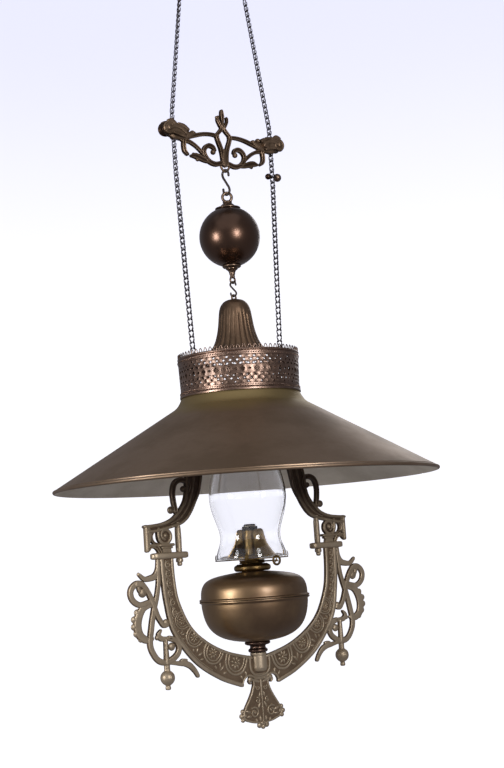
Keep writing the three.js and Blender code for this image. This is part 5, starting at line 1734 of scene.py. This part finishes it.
# The middle ground is painted shade too.
harp.join(plate([((-24.0, -186), (24.0, -186)), ((-22, -198), (22, -198)), ((-16.5, -201.4), (16.5, -201.4))],
                2.7, look=1))
harp.join(plate([((-8.8, -200.8), (8.8, -200.8)), ((-8.6, -207), (8.6, -207))], 3.4, edge=0.4))
piece("harp_cast", harp, "lamp", ["harp"], [cast_brass, cast_hollow_shade])
socket_line = [(0, -199.3), (4.6, -199.3), (7.4, -198.2), (8.6, -195.3), (8.6, -183.4), (8.2, -182.6),
               (8.6, -181.8), (8.6, -179.9), (8.0, -179.3), (5.3, -179.3), (5.3, -195.6), (0, -195.6)]
piece("font_socket_turned", turned(rounded(socket_line, 0.4), 64), "lamp", ["font_socket"],
      [cast_brass])


# %% [markdown]
# ## Palmette pendant: its plate
# A palmette hangs under the harp: a plate that widens to a fan, with whorls, small leaves, lobed
# corners and a three-lobed foot. It could be a relief carved into one block. It is made as the harp
# is, because both came from the same kind of mould: a ground, a rim and bosses. This cell makes the
# ground of one half, its rim and the ornament on it.

# %% Pendant: ground, rim and leaves
PENDANT_TOP, PENDANT_HALF, PENDANT_DROP = -207.3, 30.5, 51
PENDANT_EDGE = [(0.3, 0.0), (0.29, 0.1), (0.36, 0.22), (0.47, 0.34), (0.6, 0.46), (0.72, 0.57), (0.8, 0.68),
                (0.73, 0.755), (0.56, 0.795), (0.4, 0.825), (0.24, 0.84), (0.13, 0.855), (0.1, 0.89)]
LEAVES = [(18.6, -238.6, 0.35, 9.0, 4.2), (17.8, -243.6, 0.05, 8.0, 3.4), (3.6, -247.6, 1.5, 9.0, 3.8),
          (8.6, -248.8, 1.1, 6.4, 3.6), (4.2, -233.4, 1.9, 9.0, 3.4), (2.9, -222.6, 1.75, 8.0, 2.8)]


def in_pendant(shares):
    return placed(shares, PENDANT_HALF, PENDANT_DROP, PENDANT_TOP)


def pendant_half():
    line = even(in_pendant(PENDANT_EDGE), 40)
    # The pendant's ground takes the second look: painted shade between its rim and bosses.
    side = plate([((0, p.y), (p.x, p.y)) for p in line], 2.6, look=1)
    side.join(bar(moved_in(line, 0.6), [2.4, 2.2, 2.2, 2.2, 1.8], 4.0, CROWNED, 70))
    side.join(spiral(11.2, -240.2, 5.8, 1.5, 2.3, 4.8, start=0.9))
    side.join(bead(11.2, -240.2, 1.7, 2.5, sides=14))
    for x, z, angle, length, width in LEAVES:
        side.join(petal(x, z, angle + math.pi, length, width, 2.3))
    side.join(spiral(6.2, -228.2, 3.0, 1.2, 1.6, 4.6, start=1.4))
    return side.join(spiral(4.6, -215.4, 2.6, 1.1, 1.4, 4.4, start=0.4, hand=-1))


pendant_side = pendant_half()
print("faces in half of the pendant:", len(pendant_side.faces))


# %% [markdown]
# The lobes of the corners and of the foot are beads that overlap the plate's edge. The scrolled top
# lies under the harp's tongue. A stem with beads on it runs down the middle and hides the seam
# between the halves.

# %% Pendant: lobes, top and stem
LOBES = [(0.84, 0.595, 2.5), (0.9, 0.685, 2.7), (0.845, 0.765, 2.5), (0.76, 0.68, 2.4), (0.155, 0.912, 3.1),
         (0.05, 0.88, 2.6)]
STEM_BEADS = [(0.12, 1.6), (0.3, 1.4), (0.55, 1.8), (0.7, 1.4)]


def pendant():
    for share_x, share_z, radius in LOBES:
        pendant_side.join(bead(share_x * PENDANT_HALF, PENDANT_TOP - share_z * PENDANT_DROP, radius, 2.0))
    top = [(3.0, -2.0), (8.4, -0.4), (12.4, 1.4), (15.2, -0.6), (13.6, -3.0)]
    pendant_side.join(bar([(x, PENDANT_TOP + z) for x, z in top], [2.6, 2.8, 2.6, 2.0], 4.2, CROWNED, 30))
    pendant_side.join(bead(13.4, PENDANT_TOP + 1.2, 3.2, 2.2))
    whole = Shape().join(pendant_side).join(pendant_side.mirrored())
    whole.join(bar(in_pendant([(0, 0.02), (0, 0.4), (0, 0.86)]), [3.4, 2.2, 1.6, 2.4], 4.2, CROWNED, 30))
    for share, radius in STEM_BEADS:
        whole.join(bead(0, PENDANT_TOP - share * PENDANT_DROP, radius, 2.3, sides=16))
    return whole.join(bead(0, PENDANT_TOP - 0.945 * PENDANT_DROP, 2.8, 2.0))


piece("palmette_pendant_cast", pendant(), "lamp", ["palmette_pendant"],
      [cast_brass, cast_hollow_shade])


# %% [markdown]
# ## Side scrolls
# Each side scroll is a casting of its own on the column's side: a long stem that curls round at the
# foot, a ring that crosses it, a cusped leaf and a lower leaf. It could be traced as a flat outline
# and given a thickness, but the real bars are rounded and pass over one another. So each branch is a
# bar, in the harp's own shares, and small bosses finish the curled ends and the leaf's cusps.

# %% Side scrolls
SCROLL_BARS = [
    ([(1.021, 0.01), (1.024, 0.1), (1.034, 0.19), (1.055, 0.27), (1.087, 0.35), (1.111, 0.425), (1.13, 0.5),
      (1.146, 0.57), (1.148, 0.62), (1.128, 0.67), (1.08, 0.725), (1.015, 0.748), (0.94, 0.735),
      (0.876, 0.697), (0.857, 0.65), (0.885, 0.6), (0.95, 0.578)],
     [3.8, 4.8, 5.8, 6.2, 6.2, 6.0, 6.2, 6.2, 5.6], 4.2, ROUNDED, 150),
    ([(1.17, 0.2), (1.2, 0.172), (1.25, 0.165), (1.3, 0.192), (1.318, 0.235), (1.295, 0.285), (1.23, 0.318),
      (1.14, 0.305), (1.08, 0.29)], [6.2, 6.4, 6.2, 5.8, 5.0], 4.0, ROUNDED, 70),
    ([(1.255, 0.168), (1.19, 0.18), (1.14, 0.235), (1.1, 0.31), (1.06, 0.405), (1.03, 0.45), (1.0, 0.482),
      (0.965, 0.478)], [5.0, 5.6, 5.6, 5.4, 5.2, 4.6], 4.5, ROUNDED, 70),
    ([(1.023, 0.0), (1.03, 0.07), (1.06, 0.118), (1.11, 0.133), (1.17, 0.135), (1.222, 0.1)],
     [3.4, 5.0, 6.8, 6.2, 5.2, 3.4], 4.0, ROUNDED, 50),
    ([(1.105, 0.33), (1.15, 0.333), (1.205, 0.35), (1.25, 0.405), (1.266, 0.47), (1.246, 0.535),
      (1.185, 0.573), (1.13, 0.568)], [3.6, 4.8, 7.4, 9.0, 9.2, 8.6, 7.2, 5.0], 3.6, ROUNDED, 80),
    ([(1.0, 0.756), (0.95, 0.756), (0.9, 0.762), (0.855, 0.768), (0.8, 0.775), (0.75, 0.795), (0.705, 0.835),
      (0.678, 0.873)], [3.4, 3.8, 4.4, 5.6, 6.2, 5.2, 4.2], 4.0, ROUNDED, 50),
    ([(0.79, 0.75), (0.83, 0.747), (0.86, 0.765)], [3.0, 3.2, 2.4], 3.8, CROWNED, 12),
    ([(0.93, 0.578), (1.0, 0.58), (1.04, 0.572), (1.06, 0.545), (1.035, 0.515)],
     [4.0, 5.2, 5.6, 5.0, 2.6], 4.2, ROUNDED, 30),
    ([(0.99, 0.59), (0.99, 0.755)], [4.6, 5.4, 6.8], 5.2, RIBBED, 10),
    ([(1.235, 0.18), (1.23, 0.21), (1.205, 0.24)], [4.0, 4.2, 4.0], 3.6, CROWNED, 12),
]
SCROLL_BOSSES = [
    (1.224, 0.098, 1.9, 1.9), (1.262, 0.372, 3.5, 1.8), (1.296, 0.42, 3.5, 1.8), (1.3, 0.472, 3.5, 1.8),
    (1.28, 0.522, 3.5, 1.8), (1.238, 0.562, 3.5, 1.8), (1.222, 0.345, 2.6, 1.8), (1.075, 0.565, 2.6, 1.9),
    (1.195, 0.232, 5.0, 2.4), (0.93, 0.64, 4.2, 2.2), (0.975, 0.462, 3.6, 2.3)]

scroll = Shape()
bars(scroll, [(in_harp(shares), *rest) for shares, *rest in SCROLL_BARS])
for share_x, share_z, radius, depth in SCROLL_BOSSES:
    scroll.join(bead(share_x * HARP_HALF, HARP_TOP - share_z * HARP_DROP, radius, depth))
pair("side_scroll", scroll, "lamp", [cast_brass, cast_hollow_shade])


# %% [markdown]
# ## Side finials
# A turned drop ends each side scroll. It is one outline that is smoothed along its length, because
# the real drop has no flat steps, and a wide petal inside it gives the belly a slight edge.

# %% Side finials
drop_line = [(0, -205.4), (1.7, -205.3), (2.7, -204.6), (2.8, -202.6), (2.4, -201.4), (2.9, -200.6),
             (5.0, -199.0), (6.7, -196.6), (7.4, -193.4), (6.7, -190.1), (5.0, -187.9), (3.4, -186.6),
             (3.1, -185.6), (3.1, -181.4), (2.8, -181.0), (0, -181.0)]
drop = Shape().join(turned(smooth(drop_line, 70)[:-1] + [(0, -181.0)], 48), Matrix.Translation((115.8, 0, 0)))
drop.join(petal(115.8, -193.5, QUARTER, 10.6, 8.2, 8.0))
pair("side_finial", drop, "lamp", [cast_brass])


# %% [markdown]
# ## Font
# The font holds the oil. It was spun in two halves that meet in a rolled seam. One closed outline
# would do for both, but they are two sheets on the real lamp, so each is a piece with its own half
# of the seam. The curves are given as shares of the radius and of the depth below or above it.

# %% Font shells
SEAM, FONT_RADIUS, FONT_DEPTH, FONT_RISE = -123.25, 56.2, 44.35, 28.25
FONT_BELOW = [(0.25, 1.0), (0.46, 0.955), (0.64, 0.88), (0.785, 0.765), (0.89, 0.61), (0.955, 0.42),
              (0.99, 0.21), (1, 0.07)]
FONT_ABOVE = [(1, 0.1), (0.995, 0.3), (0.97, 0.5), (0.91, 0.68), (0.8, 0.81), (0.64, 0.895), (0.45, 0.955),
              (0.3, 0.99)]
LOWER_ROLL = [(56.6, -125.6), (57.8, -125.2), (58.2, -124.4), (58.0, -123.6), (57.0, -123.4), (55.0, -123.4)]
UPPER_ROLL = [(55.0, -123.1), (57.0, -123.1), (58.0, -122.9), (58.2, -122.2), (57.8, -121.4), (56.6, -121.0)]

lower = smooth(placed(FONT_BELOW, FONT_RADIUS, FONT_DEPTH, SEAM), 40)
upper = smooth(placed(FONT_ABOVE, FONT_RADIUS, -FONT_RISE, SEAM), 40)
piece("font_lower_spun", turned([(0, -167.6), *lower, *LOWER_ROLL], 144), "font", ["font_lower_shell"],
      [font_brass], 60)
piece("font_upper_spun", turned([*UPPER_ROLL, *upper, (13.6, -95.0), (13.6, -96.2)], 144), "font",
      ["font_upper_shell"], [font_brass], 60)


# %% [markdown]
# A turned stem carries the font and stands loose in the harp's socket, and a collar on top takes the
# burner. Both are plain lathe work, with rounded edges.

# %% Font stem and collar
stem_line = [(0, -195.3), (5, -195.3), (5, -179.0), (9.4, -179.0), (10.3, -177.6), (10.3, -176.4),
             (9.2, -175.2), (8.3, -174.8), (8.2, -172.6), (9.0, -171.8), (11.4, -171.4), (13.2, -170.6),
             (13.6, -169.4), (13.2, -168.2), (12.0, -167.9), (0, -167.9)]
piece("font_stem_turned", turned(rounded(stem_line, 0.5), 72), "font", ["font_stem"],
      [stem_brass])
collar_line = [(11.5, -94.7), (17.0, -94.7), (18.4, -94.0), (19.4, -92.6), (19.6, -91.0), (19.2, -89.4),
               (17.8, -88.2), (16.6, -87.9), (16.2, -87.1), (11.5, -87.1), (11.5, -94.7)]
piece("font_collar_turned", turned(rounded(collar_line, 0.4), 96), "font", ["font_collar"],
      [burner_brass])


# %% [markdown]
# ## Burner: body and gallery
# The burner screws into the collar. Its gallery is a thin pressed plate with four springy prongs that
# hold the foot of the glass. The prongs could be bent planes with a thickness added, but here each is
# a row of small rectangles that narrow upward and bow outward, closed like any other bar.

# %% Burner body and gallery
PRONG_FOOT, PRONG_HEIGHT = -82.4, 6.6


def prong():
    corners = []
    for k in range(9):
        t = k / 8
        reach = 37.9 + 0.75 * math.sin(math.pi * t) - 0.2 * t
        half = 2.0 * (1 - 0.35 * t)
        for y, out in ((-half, -0.35), (-half, 0.35), (half, 0.35), (half, -0.35)):
            corners.append((reach + out, y, PRONG_FOOT + PRONG_HEIGHT * t))
    return skinned(corners, 4)


body_line = [(8.3, -96.1), (11.2, -96.1), (11.2, -86.8), (13.2, -86.8), (13.6, -86.2), (13.2, -85.6),
             (12.8, -84.6), (13.6, -83.6), (13.4, -83.0), (8.3, -83.0), (8.3, -96.1)]
piece("burner_body_turned", turned(rounded(body_line, 0.3), 64), "font", ["burner_body"],
      [burner_brass])
gallery = turned(rounded([(8.3, -82.7), (14, -82.7), (20, -82.3), (34, -82.5), (38.4, -82.7), (38.9, -82.2),
                          (38.5, -81.6), (34, -81.5), (20, -81.5), (14, -81.5), (8.3, -81.5), (8.3, -82.7)],
                         0.25), 96)
for i in range(4):
    gallery.join(prong(), Matrix.Rotation(QUARTER * (i + 0.5), 4, "Z"))
piece("burner_gallery_pressed", gallery, "font", ["burner_gallery"], [burner_brass])


# %% [markdown]
# ## Burner: wick tube
# A drawn brass tube guides the round wick, and its mouth is burnt black. The char could fade in by a
# texture. It is a second look on the faces above a height, because the burnt edge is sharp.

# %% Wick tube
tube_line = [(7.0, -96.1), (8.0, -96.1), (8.0, -80), (8.0, -53.5), (8.0, -52), (8.3, -49), (8.3, -47.9),
             (7.8, -47.5), (7.0, -47.9), (7.0, -96.1)]
tube = turned(rounded(tube_line, 0.3), 56).mark(lambda p: p[2] > -53)
piece("wick_tube_drawn", tube, "font", ["wick_tube"], [burner_brass, char])


# %% [markdown]
# ## Burner: flame spreader
# Two tall curved leaves stand on a ring and throw the draught against the flame. They are parts of a
# cone, widest at the foot and rounded at the top. Cutting them out of a full cone would leave rough
# edges, so each row of a leaf is an arc of its own, out on one side of the sheet and back on the
# other, and its spread shrinks toward the top.

# %% Flame spreader
SPREADER_LINE = [(25.6, -80.0), (22.8, -76.5), (19.4, -71), (17.0, -65), (15.4, -58.5), (14.2, -53),
                 (12.6, -50.4)]
SPREADER_STEPS, SPREADER_COLUMNS = 24, 16
LEAF_SPREAD, LEAF_NARROWING, ROUND_FROM = 50, 6, 0.8
SHEET = 0.7


def spreader_leaf(middle):
    columns = range(SPREADER_COLUMNS + 1)
    corners = []
    for i, p in enumerate(smooth(SPREADER_LINE, SPREADER_STEPS)):
        t = i / SPREADER_STEPS
        rounding = math.sqrt(max(0.0, 1 - max(0.0, (t - ROUND_FROM) / (1 - ROUND_FROM)) ** 2) + 1e-3)
        spread = math.radians(LEAF_SPREAD - LEAF_NARROWING * t) * rounding
        for j, wall in [(j, 0.0) for j in columns] + [(j, SHEET) for j in reversed(columns)]:
            angle = middle + spread * (2 * j / SPREADER_COLUMNS - 1)
            corners.append(((p.x - wall) * math.cos(angle), (p.x - wall) * math.sin(angle), p.y))
    return skinned(corners, 2 * len(columns))


foot_line = [(21.5, -81.2), (26.0, -81.2), (26.0, -80.0), (23.0, -78.6), (21.5, -79.0), (21.5, -81.2)]
spreader = turned(rounded(foot_line, 0.3), 72)
for middle in (110, 290):
    spreader.join(spreader_leaf(math.radians(middle)))
piece("flame_spreader_pressed", spreader, "font", ["flame_spreader"], [burner_brass])


# %% [markdown]
# ## Wick and wick knob
# The wick is a thick cotton cord with a burnt top, and the knob raises it. The knob is a small milled
# wheel with three spokes, on a long shaft that points out of the burner. The milling could be a bump,
# but the wheel is seen against the light, so its rim is pressed in and out, as the bell is fluted.

# %% Wick
wick = turned(rounded([(0, -154), (6.4, -154), (6.4, -46.4), (5.6, -45.2), (0, -45.0)], 0.6), 32)
piece("wick_woven", wick.mark(lambda p: p[2] > -49), "wick", ["wick"], [cotton, char])


# %% Wick knob
KNOB_HEIGHT, KNOB_OUT, MILLING = -85, 41.8, 28


def knurl(angle, reach, z):
    return 1 + (0.02 * math.cos(MILLING * angle) if reach > 5 else 0)


shaft = turned(rounded([(0, 8.3), (0.8, 8.3), (0.8, 41), (0, 41)], 0.2), 16)
knob = Shape().join(shaft, across(0, KNOB_HEIGHT))
rim_line = [(3.6, 41.1), (5.2, 41.0), (5.5, 41.4), (5.5, 42.2), (5.2, 42.6), (3.6, 42.5), (3.2, 42.1),
            (3.2, 41.5), (3.6, 41.1)]
knob.join(turned(rim_line, 6 * MILLING, flute=knurl), across(0, KNOB_HEIGHT))
for i in range(3):
    knob.join(wire([(0, 0, 0), (3.5, 0, 0)], 0.55, 6, 10), Matrix.Translation((0, -KNOB_OUT, KNOB_HEIGHT))
              @ Matrix.Rotation(TAU * i / 3 + 0.4, 4, "Y"))
knob.join(bead(0, KNOB_HEIGHT, 1.4, 0.8, y=-KNOB_OUT, sides=16))
piece("wick_knob_pierced", knob, "knob", ["wick_knob"], [burner_brass])


# %% [markdown]
# ## Chimney
# The glass stands on the burner's plate with a small curled foot, narrows, bulges round the flame and
# rises as a long taper into the crown. It is blown, so its wall is thick at the foot and both ends
# are melted round. A Solidify modifier gives an even wall. Here the inside is an outline of its own,
# and the foot and the lip are small arcs.

# %% Chimney
GLASS_FOOT, GLASS_HEIGHT, GLASS_RADIUS, GLASS_WALL = -81.2, 185, 41, 2.0
GLASS_LINE = [(0.907, 0.004), (0.9, 0.02), (0.87, 0.045), (0.805, 0.085), (0.778, 0.12), (0.79, 0.155),
              (0.855, 0.205), (0.94, 0.265), (0.99, 0.32), (1.0, 0.365), (0.975, 0.42), (0.88, 0.51),
              (0.72, 0.63), (0.61, 0.78), (0.573, 1.0)]
THICKENING, THICK_REACH = 1.6, 14


def chimney():
    outer = [(p.x * GLASS_RADIUS, GLASS_FOOT + p.y * GLASS_HEIGHT) for p in smooth(GLASS_LINE, 90)]
    inner = [(r - GLASS_WALL - THICKENING * max(0.0, 1 - (z - GLASS_FOOT) / THICK_REACH), z)
             for r, z in outer]
    half = GLASS_WALL / 2
    (foot_radius, low), (lip_radius, high) = outer[0], outer[-1]
    foot, lip = [], []
    for i in range(9):
        c, s = math.cos(math.pi * i / 8), math.sin(math.pi * i / 8)
        foot.append((foot_radius - half - half * 1.15 * c, low - 0.55 * s - 0.15))
        lip.append((lip_radius - half + half * c, high + half * s - 0.9))
    return turned(foot + outer[1:-1] + lip + inner[1:-1][::-1] + [foot[0]], 128)


piece("chimney_blown", chimney(), "chimney", ["chimney"], [glass], 180)


# %% [markdown]
# ## Lamps and room
# Dark metal shows mostly what it mirrors, so the light matters as much as the finish. One strong lamp
# would leave black sides. Two soft boxes from the left and the right give each round form a long
# highlight, a wide one above opens the shade's top, and a weak one behind lifts the far side.

# %% Soft lamps
AIM = Vector((0, 0, -0.45))


def soft_lamp(name, place, aim, size, power):
    data = bpy.data.lights.new(name, "AREA")
    data.shape = "RECTANGLE"
    data.size, data.size_y = size
    data.energy = power
    lamp = bpy.data.objects.new(name, data)
    lamp.location = place
    lamp.rotation_euler = (Vector(aim) - Vector(place)).to_track_quat("-Z", "Y").to_euler()
    bpy.context.collection.objects.link(lamp)
    return lamp


soft_lamp("left_softbox", (-1.75, 0.0, -0.42), AIM, (0.4, 0.55), 14)
soft_lamp("right_softbox", (-0.31, -1.75, -0.25), AIM, (0.4, 0.55), 14)
soft_lamp("ceiling_bounce", (-0.75, -0.7, 1.2), (0, 0, -0.4), (2.6, 2.6), 8)
soft_lamp("far_wall_bounce", (1.9, 1.3, 0.35), AIM, (1.2, 1.0), 5).visible_camera = False
print("lamps:", len(bpy.data.lights))


# %% [markdown]
# ## Pale ground
# The lamp is seen against a white ground that turns a little cooler above. A plane and a backdrop
# would show a corner, so the floor curves up into the walls as one bowl. It is only a ground to see
# the lamp against, so it neither lights the lamp nor mirrors in it. The plain view transform is used,
# because the usual one greys the white and thins the small pieces in front of it.

# %% Pale ground
BOWL_RADIUS, BOWL_CURVE, FLOOR = 1.6, 1.8, -3.4


def pale_ground():
    rows = [(0.0, FLOOR), (BOWL_RADIUS, FLOOR)]
    for i in range(1, 13):
        angle = QUARTER * i / 12
        rows.append((BOWL_RADIUS + BOWL_CURVE * math.sin(angle), FLOOR + BOWL_CURVE * (1 - math.cos(angle))))
    bowl = turned(rows + [(3.4, 3.0), (2.6, 4.2), (0.0, 4.6)], 64)
    mesh = bpy.data.meshes.new("pale_floor")
    mesh.from_pydata(bowl.points, [], bowl.faces)
    mesh.shade_smooth()
    look = Look("floor_paint")
    look.drive("Base Color", look.noise(1.5, 2, 0.5).over((0.86, 0.86, 0.9, 1), (0.88, 0.88, 0.92, 1)))
    height = look.part(2).between(0.0, 1.3)
    look.drive("Emission Color", height.over((0.8, 0.8, 0.84, 1), (0.6, 0.61, 0.78, 1)))
    look.set(Roughness=0.9, Emission_Strength=1.0)
    mesh.materials.append(look.material)
    floor = bpy.data.objects.new("floor", mesh)
    bpy.context.collection.objects.link(floor)
    floor.visible_glossy = False
    floor.visible_diffuse = False
    floor.visible_shadow = False
    return floor


floor = pale_ground()
bpy.context.scene.view_settings.view_transform = "Standard"
world = bpy.data.worlds.new("dim_room")
bpy.context.scene.world = world
world.use_nodes = True
background = world.node_tree.nodes["Background"]
background.inputs["Color"].default_value = (0.93, 0.92, 1.0, 1)
background.inputs["Strength"].default_value = 0.2
print("faces in the ground:", len(floor.data.polygons))


# %% [markdown]
